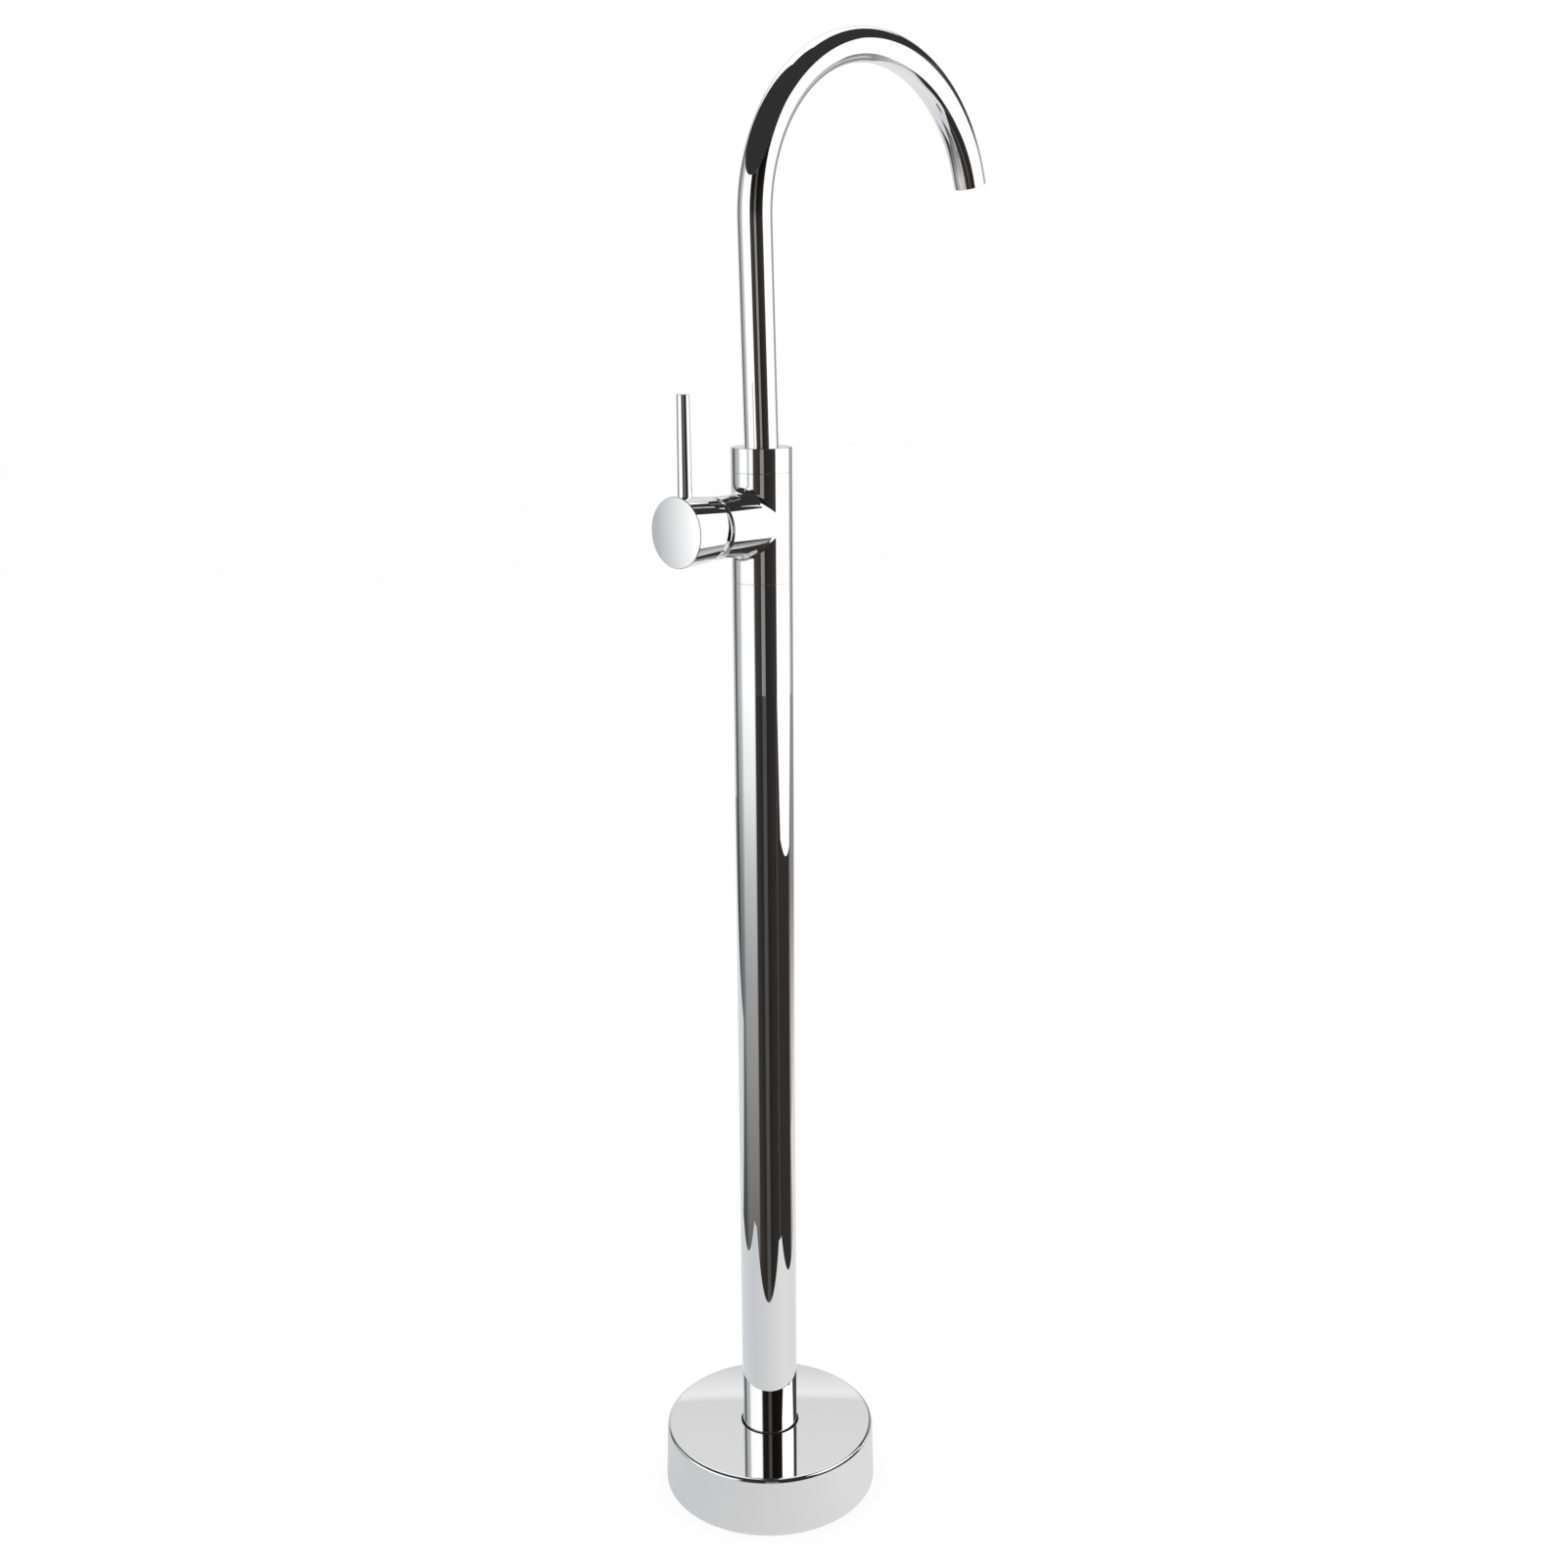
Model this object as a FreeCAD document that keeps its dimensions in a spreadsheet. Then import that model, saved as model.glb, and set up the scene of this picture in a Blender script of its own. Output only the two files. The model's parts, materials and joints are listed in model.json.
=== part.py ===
import FreeCAD, Part

import math
import os

import Sketcher
from FreeCAD import Placement, Rotation, Vector

# Floor standing bath filler: a column on a floor flange, a tee shaped mixer body with a lever
# knob on its front (-Y), and a swivelling gooseneck spout that reaches to the back (+Y).
# The origin is the centre of the base on the floor, and +Z is up. Sizes are in millimetres.

DRIVING_SIZES = {
    # column and its foot
    "column_dia": 45.0,
    "column_wall": 2.0,
    "flange_dia": 150.0,
    "flange_thick": 8.0,
    "socket_dia": 58.0,
    "socket_depth": 16.0,
    "hub_top": 20.0,
    "bolt_circle": 120.0,
    "bolt_hole": 9.0,
    "bolt_count": 4.0,
    "socket_screw": 6.0,
    "screw_count": 3.0,
    "flange_edge": 1.0,
    "socket_flare": 4.0,
    "cover_top_dia": 171.0,
    "cover_foot_dia": 174.0,
    "cover_height": 50.0,
    "cover_wall": 2.5,
    "cover_round": 3.2,
    "cover_lip": 0.5,
    "cover_gap": 1.3,
    # water supply
    "inlet_bore": 16.7,
    "inlet_depth": 12.0,
    "inlet_web": 2.3,
    "waterway": 9.0,
    "hose_dia": 11.0,
    "hose_wall": 1.5,
    "plug_depth": 6.0,
    "fitting_collar": 5.0,
    "collar_margin": 2.0,
    "barb_length": 15.0,
    "barb_wall": 1.4,
    "barb_step": 0.4,
    "barb_nose": 0.8,
    "sleeve_length": 10.0,
    "sleeve_wall": 0.8,
    # mixer body
    "handle_height": 799.0,
    "body_below": 43.0,
    "body_above": 37.0,
    "spigot_length": 20.0,
    "boss_dia": 44.8,
    "boss_reach": 50.0,
    "seat_depth": 13.0,
    "outlet_way": 7.2,
    "overrun": 1.0,
    "neck_wall": 3.3,
    "neck_height": 5.0,
    "collar_height": 18.0,
    # spout
    "spout_dia": 25.0,
    "spout_wall": 1.5,
    "straight_rise": 1.0,
    "riser_height": 156.9,
    "riser_lean": 1.7,
    "lean_radius": 120.0,
    "bend_radius": 123.4,
    "bend_angle": 163.8,
    "outlet_length": 9.2,
    "nipple_dia": 22.0,
    "nipple_depth": 16.0,
    "nipple_wall": 3.5,
    "nipple_spigot": 10.0,
    "plug_play": 1.0,
    "plug_chamfer": 0.8,
    "o_ring": 1.6,
    "o_ring_depth": 4.8,
    "o_ring_pitch": 5.6,
    "shoulder_dia": 31.0,
    "shoulder_play": 0.7,
    "shoulder_thick": 3.0,
    "slide_ring": 1.7,
    "aerator_length": 8.0,
    "aerator_inset": 1.0,
    "aerator_wall": 1.2,
    "aerator_lip": 0.8,
    "lip_thick": 1.0,
    "spray_hole": 1.5,
    "spray_pitch": 2.6,
    "spray_rings": 3.0,
    "washer_thick": 2.0,
    "washer_width": 2.0,
    # cartridge
    "cartridge_dia": 35.0,
    "cartridge_wall": 1.7,
    "base_thick": 4.0,
    "seal_height": 1.4,
    "port_seal_wall": 1.5,
    "disc_margin": 3.0,
    "disc_dia": 24.8,
    "disc_thick": 4.0,
    "moving_thick": 4.45,
    "hollow_width": 13.9,
    "hollow_height": 9.7,
    "hollow_depth": 2.0,
    "hollow_web": 0.8,
    "port_circle": 15.2,
    "port_dia": 5.2,
    "disc_port": 4.6,
    "pivot_reach": 37.0,
    "neck_behind": 6.0,
    "neck_ahead": 3.0,
    "carrier_dia": 18.2,
    "carrier_flange": 1.3,
    "carrier_front": 6.0,
    "slot_above": 7.0,
    "slot_below": 7.6,
    "stem_dia": 7.2,
    "stem_neck": 3.0,
    "stem_neck_length": 2.5,
    "stem_slope": 1.5,
    "stem_end": 2.0,
    "stem_chamfer": 1.0,
    "pin_dia": 3.0,
    "ball_dia": 4.8,
    "ball_play": 0.2,
    "ball_arm": 9.0,
    "nut_sink": 2.0,
    "nut_play": 1.15,
    "nut_slot": 4.0,
    "nut_slot_depth": 2.5,
    # lever knob
    "knob_face_dia": 50.8,
    "knob_back_dia": 45.0,
    "knob_reach": 87.4,
    "knob_gap_top": 2.7,
    "knob_gap_foot": 11.3,
    "knob_wall": 3.3,
    "knob_web": 21.4,
    "knob_dome": 0.8,
    "knob_edge": 0.7,
    "web_chamfer": 1.0,
    "cap_wall": 1.0,
    "cap_rim": 1.5,
    "cap_brow": 2.5,
    "cap_mouth": 23.2,
    "lever_reach": 77.1,
    "lever_top": 95.3,
    "lever_foot_dia": 10.3,
    "lever_tip_dia": 9.2,
    "lever_screw": 6.0,
    "lever_thread": 9.0,
    "thread_chamfer": 0.6,
    "lever_edge": 0.5,
    "lever_sink": 1.8,
    "grub_length": 4.8,
    # small edges and clearances
    "joint_edge": 0.25,
    "running": 0.05,
    "slip": 0.1,
    "free": 0.3,
}

doc = FreeCAD.newDocument("bath_filler")
sheet = doc.addObject("Spreadsheet::Sheet", "size")
for row, (alias, number) in enumerate(DRIVING_SIZES.items(), start=1):
    sheet.set(f"A{row}", alias)
    sheet.set(f"B{row}", str(number))
    sheet.setAlias(f"B{row}", alias)
doc.recompute()


class Size:
    """A number together with the sheet expression that it is worked out by."""

    def __init__(self, value, text):
        self.value = value
        self.text = text

    def __add__(self, other):
        other = as_size(other)
        return Size(self.value + other.value, f"({self.text} + {other.text})")

    def __sub__(self, other):
        other = as_size(other)
        return Size(self.value - other.value, f"({self.text} - {other.text})")

    def __rsub__(self, other):
        return as_size(other) - self

    def __mul__(self, factor):
        factor = as_size(factor)
        return Size(self.value * factor.value, f"({self.text} * {factor.text})")

    def __truediv__(self, divisor):
        divisor = as_size(divisor)
        return Size(self.value / divisor.value, f"({self.text} / {divisor.text})")

    def root(self):
        return Size(math.sqrt(self.value), f"sqrt({self.text})")

    __radd__ = __add__
    __rmul__ = __mul__


def as_size(number):
    if isinstance(number, Size):
        return number
    return Size(float(number), repr(float(number)))


class Sizes:
    """Every driving size of the sheet by its alias."""

    def __getattr__(self, alias):
        return Size(DRIVING_SIZES[alias], f"size.{alias}")


s = Sizes()

UPRIGHT = Rotation()
# Turns the local +Z to the front (-Y) and the local +Y up, for what lies along the boss.
TO_FRONT = Rotation(Vector(1, 0, 0), 90)
# Turns the local +Z to +X, for pins and holes that go across.
ACROSS = Rotation(Vector(0, 1, 0), 90)

# A set screw's hexagon recess, as shares of the screw's diameter.
RECESS_RADIUS = 0.28
RECESS_DEPTH = 0.35


# ---------------------------------------------------------------- building blocks


def place(piece, x=0, y=0, z=0, turn=UPRIGHT):
    """Puts a piece at sizes of the sheet, turned about its own origin."""
    piece.Placement = Placement(Vector(as_size(x).value, as_size(y).value, as_size(z).value), turn)
    for name, offset in (("x", x), ("y", y), ("z", z)):
        if isinstance(offset, Size):
            piece.setExpression(f"Placement.Base.{name}", offset.text)
    return piece


def along_boss(piece):
    return place(piece, z=s.handle_height, turn=TO_FRONT)


def rod(name, dia, length, **where):
    cylinder = doc.addObject("Part::Cylinder", name)
    cylinder.setExpression("Radius", (as_size(dia) / 2).text)
    cylinder.setExpression("Height", as_size(length).text)
    return place(cylinder, **where)


def box(name, size_x, size_y, size_z, **where):
    block = doc.addObject("Part::Box", name)
    block.setExpression("Length", as_size(size_x).text)
    block.setExpression("Width", as_size(size_y).text)
    block.setExpression("Height", as_size(size_z).text)
    return place(block, **where)


def fused(name, *pieces):
    joined = doc.addObject("Part::MultiFuse", name)
    joined.Shapes = list(pieces)
    joined.Refine = True
    return joined


def cut(name, base, *tools):
    """The base less all tools, as one object."""
    tool = tools[0]
    if len(tools) > 1:
        tool = doc.addObject("Part::MultiFuse", name + "_tools")
        tool.Shapes = list(tools)
    result = doc.addObject("Part::Cut", name)
    result.Base = base
    result.Tool = tool
    return result


def grouped(name, pieces):
    """Several separate pieces as one node."""
    group = doc.addObject("Part::Compound", name)
    group.Links = pieces
    return group


def origin_plane(body, role):
    for feature in body.Origin.OriginFeatures:
        if feature.Role == role:
            return feature
    raise ValueError(f"no plane {role}")


def sketch_on(body, role, name):
    sketch = body.newObject("Sketcher::SketchObject", name)
    sketch.AttachmentSupport = [(origin_plane(body, role), "")]
    sketch.MapMode = "FlatFace"
    return sketch


def outlined(sketch, corners):
    """A closed outline whose corners are each held by two sizes from the sketch origin.

    A corner is (across, along), or (across, along, radius) where the side that ends at it is
    an arc; the arc bulges away from the sketch origin.
    """
    points = [(as_size(corner[0]), as_size(corner[1])) for corner in corners]
    starts = []
    ends = []
    for index, corner in enumerate(corners):
        first = Vector(points[index - 1][0].value, points[index - 1][1].value, 0)
        last = Vector(points[index][0].value, points[index][1].value, 0)
        if len(corner) == 2:
            side = sketch.addGeometry(Part.LineSegment(first, last), False)
            starts.append((side, 1))
            ends.append((side, 2))
            continue
        side = sketch.addGeometry(arc_outward(first, last, corner[2].value), False)
        forward = sketch.getPoint(side, 1).distanceToPoint(first) < 1e-6
        starts.append((side, 1) if forward else (side, 2))
        ends.append((side, 2) if forward else (side, 1))
        bend = sketch.addConstraint(Sketcher.Constraint("Radius", side, corner[2].value))
        sketch.setExpression(f"Constraints[{bend}]", corner[2].text)
    for index in range(len(corners)):
        following = starts[(index + 1) % len(corners)]
        sketch.addConstraint(Sketcher.Constraint("Coincident", *ends[index], *following))
    for end, (across, along) in zip(ends, points):
        hold_point(sketch, end, "DistanceX", across)
        hold_point(sketch, end, "DistanceY", along)


def arc_outward(first, last, radius):
    """An arc between two points of a sketch that bulges away from its origin."""
    middle = (first + last) * 0.5
    half = first.distanceToPoint(last) / 2
    direction = Vector(first.y - last.y, last.x - first.x, 0).normalize()
    if direction.dot(middle) < 0:
        direction = direction * -1
    rise = radius - math.sqrt(radius**2 - half**2)
    return Part.Arc(first, middle + direction * rise, last)


def hold_point(sketch, point, kind, size):
    """Holds a point at a size from the origin, or on the axis where the size is 0."""
    if size.text == "0.0":
        axis = -2 if kind == "DistanceX" else -1
        sketch.addConstraint(Sketcher.Constraint("PointOnObject", *point, axis))
        return
    number = sketch.addConstraint(Sketcher.Constraint(kind, -1, 1, *point, size.value))
    sketch.setExpression(f"Constraints[{number}]", size.text)


def turned(name, outline, **where):
    """A piece turned about its own Z axis from (radius, height) corners."""
    body = doc.addObject("PartDesign::Body", name)
    sketch = sketch_on(body, "XZ_Plane", name + "_outline")
    outlined(sketch, outline)
    turn = body.newObject("PartDesign::Revolution", name + "_turn")
    turn.Profile = sketch
    turn.ReferenceAxis = (sketch, ["V_Axis"])
    turn.Angle = 360.0
    return place(body, **where)


def ring(name, inner_dia, outer_dia, bottom, top, **where):
    """A plain ring or bush with square corners."""
    inner = as_size(inner_dia) / 2
    outer = as_size(outer_dia) / 2
    corners = [(inner, bottom), (outer, bottom), (outer, top), (inner, top)]
    return turned(name, corners, **where)


# ---------------------------------------------------------------- foot


def inlet_offset():
    """Distance of each supply line from the column's axis."""
    return (s.inlet_bore + s.inlet_web) / 2


def socket_top():
    return s.hub_top + s.socket_depth


def make_floor_flange():
    """A disc on the floor with a socket for the column and the two supply inlets."""
    socket = s.socket_dia / 2
    socket_bore = s.column_dia / 2 + s.slip
    blank = turned(
        "flange_blank",
        [
            (0, 0),
            (s.flange_dia / 2, 0),
            (s.flange_dia / 2, s.flange_thick - s.flange_edge),
            (s.flange_dia / 2 - s.flange_edge, s.flange_thick),
            (socket + s.socket_flare, s.flange_thick),
            (socket, s.flange_thick + s.socket_flare),
            (socket, socket_top() - s.flange_edge),
            (socket - s.flange_edge, socket_top()),
            (socket_bore, socket_top()),
            (socket_bore, s.hub_top),
            (0, s.hub_top),
        ],
    )
    tools = []
    for side, name in ((-1, "hot"), (1, "cold")):
        offset = inlet_offset() * side
        tools.append(rod(name + "_inlet", s.inlet_bore, s.inlet_depth, x=offset))
        tools.append(rod(name + "_waterway", s.waterway, s.hub_top, x=offset))
    count = round(s.bolt_count.value)
    for index in range(count):
        angle = math.radians(45 + 360 * index / count)
        tools.append(
            rod(
                f"flange_hole_{index}",
                s.bolt_hole,
                s.flange_thick,
                x=s.bolt_circle * (math.cos(angle) / 2),
                y=s.bolt_circle * (math.sin(angle) / 2),
            )
        )
    for index in range(screw_count()):
        tools.append(
            rod(
                f"socket_screw_hole_{index}",
                s.socket_screw,
                socket,
                z=socket_screw_height(),
                turn=socket_screw_turn(index),
            )
        )
    return cut("floor_flange", blank, *tools)


def socket_screw_height():
    return s.hub_top + s.socket_depth / 2


def screw_count():
    return round(s.screw_count.value)


def socket_screw_turn(index):
    """The direction of one of the radial screws; the first points to the back."""
    return Rotation(Vector(0, 0, 1), 90 + 360 * index / screw_count()) * ACROSS


def set_screw(name, dia, length):
    """A headless screw with a hexagon recess in its outer end."""
    shank = rod(name + "_shank", dia, length)
    recess = doc.addObject("Part::Prism", name + "_recess")
    recess.Polygon = 6
    recess.setExpression("Circumradius", (dia * RECESS_RADIUS).text)
    recess.setExpression("Height", (dia / 2).text)
    place(recess, z=length - dia * RECESS_DEPTH)
    return cut(name, shank, recess)


def make_column_grub_screws():
    """The set screws that clamp the column in its socket."""
    screws = []
    length = s.socket_dia / 2 - s.column_dia / 2 - s.free
    for index in range(screw_count()):
        screw = set_screw(f"column_screw_{index}", s.socket_screw - 2 * s.running, length)
        turn = socket_screw_turn(index)
        outward = turn.multVec(Vector(0, 0, 1))
        place(
            screw,
            x=s.column_dia / 2 * outward.x,
            y=s.column_dia / 2 * outward.y,
            z=socket_screw_height(),
            turn=turn,
        )
        screws.append(screw)
    return grouped("column_grub_screws", screws)


def make_base_cover():
    """The polished cover over the flange: a drawn shell with a round hole for the column."""
    hole = s.column_dia / 2 + s.cover_gap
    body = turned(
        "base_cover",
        [
            (s.cover_foot_dia / 2 - s.cover_wall, 0),
            (s.cover_foot_dia / 2, 0),
            (s.cover_top_dia / 2, s.cover_height),
            (hole + s.cover_lip, s.cover_height),
            (hole, s.cover_height - s.cover_lip),
            (hole, s.cover_height - s.cover_wall),
            (s.cover_top_dia / 2 - s.cover_wall, s.cover_height - s.cover_wall),
        ],
    )
    doc.recompute()
    shell = body.Tip
    rim = edges_at(shell.Shape, s.cover_top_dia.value / 2, s.cover_height.value)
    rounding = body.newObject("PartDesign::Fillet", "cover_rounding")
    rounding.Base = (shell, rim)
    rounding.setExpression("Radius", s.cover_round.text)
    body.Tip = rounding
    return body


def edges_at(shape, radius, height):
    """Names of the round edges with this radius about the Z axis at this height."""
    names = []
    for number, edge in enumerate(shape.Edges, start=1):
        curve = edge.Curve
        if not isinstance(curve, Part.Circle):
            continue
        if abs(curve.Radius - radius) < 0.01 and abs(curve.Center.z - height) < 0.01:
            names.append(f"Edge{number}")
    return names


def make_cover_seal():
    """A rubber ring in the gap between the cover and the column."""
    seal = doc.addObject("Part::Torus", "cover_seal")
    seal.setExpression("Radius1", (s.column_dia / 2 + s.cover_gap / 2).text)
    seal.setExpression("Radius2", (s.cover_gap / 2).text)
    return place(seal, z=s.cover_height - s.cover_wall + s.cover_gap / 2)


# ---------------------------------------------------------------- column and hoses


def joint_height():
    """Height of the line where the column ends and the mixer body begins."""
    return s.handle_height - s.body_below


def spigot_bottom():
    return joint_height() - s.spigot_length


def make_column_tube():
    outer = s.column_dia / 2
    inner = outer - s.column_wall
    length = joint_height() - s.hub_top
    return turned(
        "column_tube",
        [
            (inner, 0),
            (outer, 0),
            (outer, length - s.joint_edge),
            (outer - s.joint_edge, length),
            (inner, length),
        ],
        z=s.hub_top,
    )


def hose_bore():
    return s.hose_dia - 2 * s.hose_wall


def make_hose_fitting(name, **where):
    """A plug-in spigot, a collar and a barb that holds the hose."""
    plug = s.waterway / 2 - s.running
    collar = s.hose_dia / 2 + s.collar_margin
    barb = hose_bore() / 2 - s.running
    bore = barb - s.barb_wall
    end = s.fitting_collar + s.barb_length
    return turned(
        name,
        [
            (bore, s.plug_depth * -1),
            (plug, s.plug_depth * -1),
            (plug, 0),
            (collar, 0),
            (collar, s.fitting_collar),
            (barb - s.barb_step, s.fitting_collar),
            (barb, s.fitting_collar + s.barb_step),
            (barb, end - s.barb_nose),
            (barb - s.barb_nose, end),
            (bore, end),
        ],
        **where,
    )


def make_supply(name, side):
    """One flexible hose with its two fittings, from the flange up to the mixer body."""
    offset = inlet_offset() * side
    over = Rotation(Vector(1, 0, 0), 180)
    bottom = s.hub_top + s.fitting_collar
    run = spigot_bottom() - s.fitting_collar - bottom
    return [
        make_hose_fitting(name + "_lower_fitting", x=offset, z=s.hub_top),
        ring(name + "_hose", hose_bore(), s.hose_dia, 0, run, x=offset, z=bottom),
        make_hose_fitting(name + "_upper_fitting", x=offset, z=spigot_bottom(), turn=over),
    ]


def make_hose_ferrules():
    """Crimped sleeves round both ends of both hoses."""
    sleeves = []
    inner = s.hose_dia + 2 * s.running
    heights = (
        s.hub_top + s.fitting_collar,
        spigot_bottom() - s.fitting_collar - s.sleeve_length,
    )
    for side, name in ((-1, "hot"), (1, "cold")):
        for end, height in enumerate(heights):
            sleeve = ring(
                f"{name}_sleeve_{end}",
                inner,
                inner + 2 * s.sleeve_wall,
                0,
                s.sleeve_length,
                x=inlet_offset() * side,
                z=height,
            )
            sleeves.append(sleeve)
    return grouped("hose_ferrules", sleeves)


# ---------------------------------------------------------------- mixer body


def body_top():
    return s.handle_height + s.body_above


def port_places():
    """Where the hot, cold and mixed waterways meet the cartridge: (name, across, up)."""
    places = []
    for name, degrees in (("hot", 150), ("cold", 30), ("mixed", 270)):
        angle = math.radians(degrees)
        across = s.port_circle * (math.cos(angle) / 2)
        up = s.port_circle * (math.sin(angle) / 2)
        places.append((name, across, up))
    return places


def shoulder_cavity():
    """Radius of the space that the spout's shoulder and its slide rings sit in."""
    return s.shoulder_dia / 2 + s.shoulder_play


def neck_radius():
    return shoulder_cavity() + s.neck_wall


def make_body_blank():
    """Two pipes that meet in a tee, a spigot for the column and a neck for the collar."""
    outer = s.column_dia / 2
    spigot = outer - s.column_wall - s.slip
    upright = turned(
        "body_upright",
        [
            (0, s.spigot_length * -1),
            (spigot, s.spigot_length * -1),
            (spigot, 0),
            (outer - s.joint_edge, 0),
            (outer, s.joint_edge),
            (outer, s.body_below + s.body_above - s.joint_edge),
            (outer - s.joint_edge, s.body_below + s.body_above),
            (neck_radius(), s.body_below + s.body_above),
            (neck_radius(), s.body_below + s.body_above + s.neck_height),
            (0, s.body_below + s.body_above + s.neck_height),
        ],
        z=joint_height(),
    )
    edge = s.joint_edge * 2
    boss = turned(
        "body_boss",
        [
            (0, 0),
            (s.boss_dia / 2, 0),
            (s.boss_dia / 2, s.boss_reach - edge),
            (s.boss_dia / 2 - edge, s.boss_reach),
            (0, s.boss_reach),
        ],
    )
    return fused("body_blank", upright, along_boss(boss))


def make_mixer_body():
    """The tee, bored for the cartridge, the spout and the waterways between them."""
    seat = s.seat_depth * -1
    bore = rod("cartridge_bore", s.cartridge_dia + 2 * s.free, s.boss_reach)
    place(bore, y=seat, z=s.handle_height, turn=TO_FRONT)
    socket_bottom = body_top() - s.nipple_depth
    depth = s.nipple_depth + s.neck_height
    tools = [
        bore,
        rod("spout_socket", s.nipple_dia, depth, z=socket_bottom),
        rod("shoulder_cavity", 2 * shoulder_cavity(), s.neck_height, z=body_top()),
    ]
    for name, across, up in port_places():
        port = rod(name + "_port", s.port_dia, s.seat_depth + s.overrun)
        tools.append(place(port, x=across, z=s.handle_height + up, turn=TO_FRONT))
        if name == "mixed":
            bottom = s.handle_height + up - s.outlet_way / 2
            top = socket_bottom + s.overrun
            way = rod("mixed_riser", s.outlet_way, top - bottom, z=bottom)
        else:
            bottom = spigot_bottom()
            top = s.handle_height + up + s.port_dia / 2 + s.overrun
            offset = inlet_offset() * (-1 if name == "hot" else 1)
            way = rod(name + "_riser", s.waterway, top - bottom, x=offset, z=bottom)
        tools.append(way)
    return cut("mixer_body", make_body_blank(), *tools)


def make_spout_collar():
    """The ring that screws on the body's neck and keeps the spout's shoulder down."""
    lip = s.spout_dia / 2 + s.free
    outer = s.column_dia / 2
    thread = neck_radius() + s.slip
    return turned(
        "spout_collar",
        [
            (thread, 0),
            (outer - s.joint_edge, 0),
            (outer, s.joint_edge),
            (outer, s.collar_height - 2 * s.joint_edge),
            (outer - 2 * s.joint_edge, s.collar_height),
            (lip + s.joint_edge, s.collar_height),
            (lip, s.collar_height - s.joint_edge),
            (lip, shoulder_stack()),
            (shoulder_cavity(), shoulder_stack()),
            (shoulder_cavity(), s.neck_height),
            (thread, s.neck_height),
        ],
        z=body_top(),
    )


# ---------------------------------------------------------------- spout


def shoulder_stack():
    """Height of two slide rings, the shoulder between them and the play of the joint."""
    return 2 * s.slide_ring + s.shoulder_thick + 2 * s.running


def shoulder_bottom():
    return body_top() + s.slide_ring + s.running


def make_slide_rings():
    """Plastic rings under and over the spout's shoulder, for an easy swivel."""
    outer = 2 * shoulder_cavity() - 2 * s.slip
    upper = body_top() + shoulder_stack() - s.slide_ring
    return [
        ring(
            "lower_slide_ring",
            s.nipple_dia + 2 * s.free,
            outer,
            0,
            s.slide_ring,
            z=body_top(),
        ),
        ring("upper_slide_ring", s.spout_dia + 2 * s.free, outer, 0, s.slide_ring, z=upper),
    ]


def o_ring_heights():
    """Middle heights of the two O-rings, the lower one first, from the shoulder down."""
    upper = s.o_ring_depth * -1 - s.slide_ring
    return (upper - s.o_ring_pitch, upper)


def make_spout_nipple():
    """The brass end of the spout: a grooved plug, a shoulder and a spigot in the tube."""
    plug = s.nipple_dia / 2 - s.running
    groove = plug - s.o_ring
    bore = s.nipple_dia / 2 - s.nipple_wall
    bottom = s.plug_play - s.nipple_depth - s.slide_ring
    half = s.o_ring / 2 + s.slip
    outline = [
        (bore, bottom),
        (plug - s.plug_chamfer, bottom),
        (plug, bottom + s.plug_chamfer),
    ]
    for middle in o_ring_heights():
        outline.append((plug, middle - half))
        outline.append((groove, middle - half))
        outline.append((groove, middle + half))
        outline.append((plug, middle + half))
    spigot = s.spout_dia / 2 - s.spout_wall - s.running
    top = s.shoulder_thick + s.nipple_spigot
    outline += [
        (plug, 0),
        (s.shoulder_dia / 2, 0),
        (s.shoulder_dia / 2, s.shoulder_thick),
        (spigot, s.shoulder_thick),
        (spigot, top),
        (bore, top),
    ]
    return turned("spout_nipple", outline, z=shoulder_bottom())


def make_nipple_o_rings():
    """Two rubber rings in the grooves of the plug."""
    rings = []
    for index, middle in enumerate(o_ring_heights()):
        torus = doc.addObject("Part::Torus", f"nipple_o_ring_{index}")
        torus.setExpression("Radius1", (s.nipple_dia / 2 - s.running - s.o_ring / 2).text)
        torus.setExpression("Radius2", (s.o_ring / 2).text)
        rings.append(place(torus, z=shoulder_bottom() + middle))
    return grouped("nipple_o_rings", rings)


def spout_line():
    """Points of the gooseneck's centre line, (along the reach, height), and its way out."""
    lean = math.radians(s.riser_lean.value)
    turn = math.radians(s.bend_angle.value)
    small = s.lean_radius.value
    large = s.bend_radius.value
    collar_top = (body_top() + s.collar_height).value
    lean_start = (0.0, collar_top + s.straight_rise.value)
    spring = collar_top + s.riser_height.value

    def on_lean(angle):
        return (
            -small * (1 - math.cos(angle)),
            lean_start[1] + small * math.sin(angle),
        )

    lean_end = on_lean(lean)
    rise = (spring - lean_end[1]) / math.cos(lean)
    bend_start = (lean_end[0] - rise * math.sin(lean), spring)

    def on_bend(angle):
        side = large * (1 - math.cos(angle))
        front = large * math.sin(angle)
        return (
            bend_start[0] + side * math.cos(lean) - front * math.sin(lean),
            bend_start[1] + side * math.sin(lean) + front * math.cos(lean),
        )

    way_out = (math.sin(turn - lean), math.cos(turn - lean))
    bend_end = on_bend(turn)
    return {
        "start": (0.0, (shoulder_bottom() + s.shoulder_thick).value),
        "lean_start": lean_start,
        "lean_middle": on_lean(lean / 2),
        "lean_end": lean_end,
        "bend_start": bend_start,
        "bend_middle": on_bend(turn / 2),
        "bend_end": bend_end,
        "outlet": (
            bend_end[0] + way_out[0] * s.outlet_length.value,
            bend_end[1] + way_out[1] * s.outlet_length.value,
        ),
        "way_out": way_out,
    }


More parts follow.
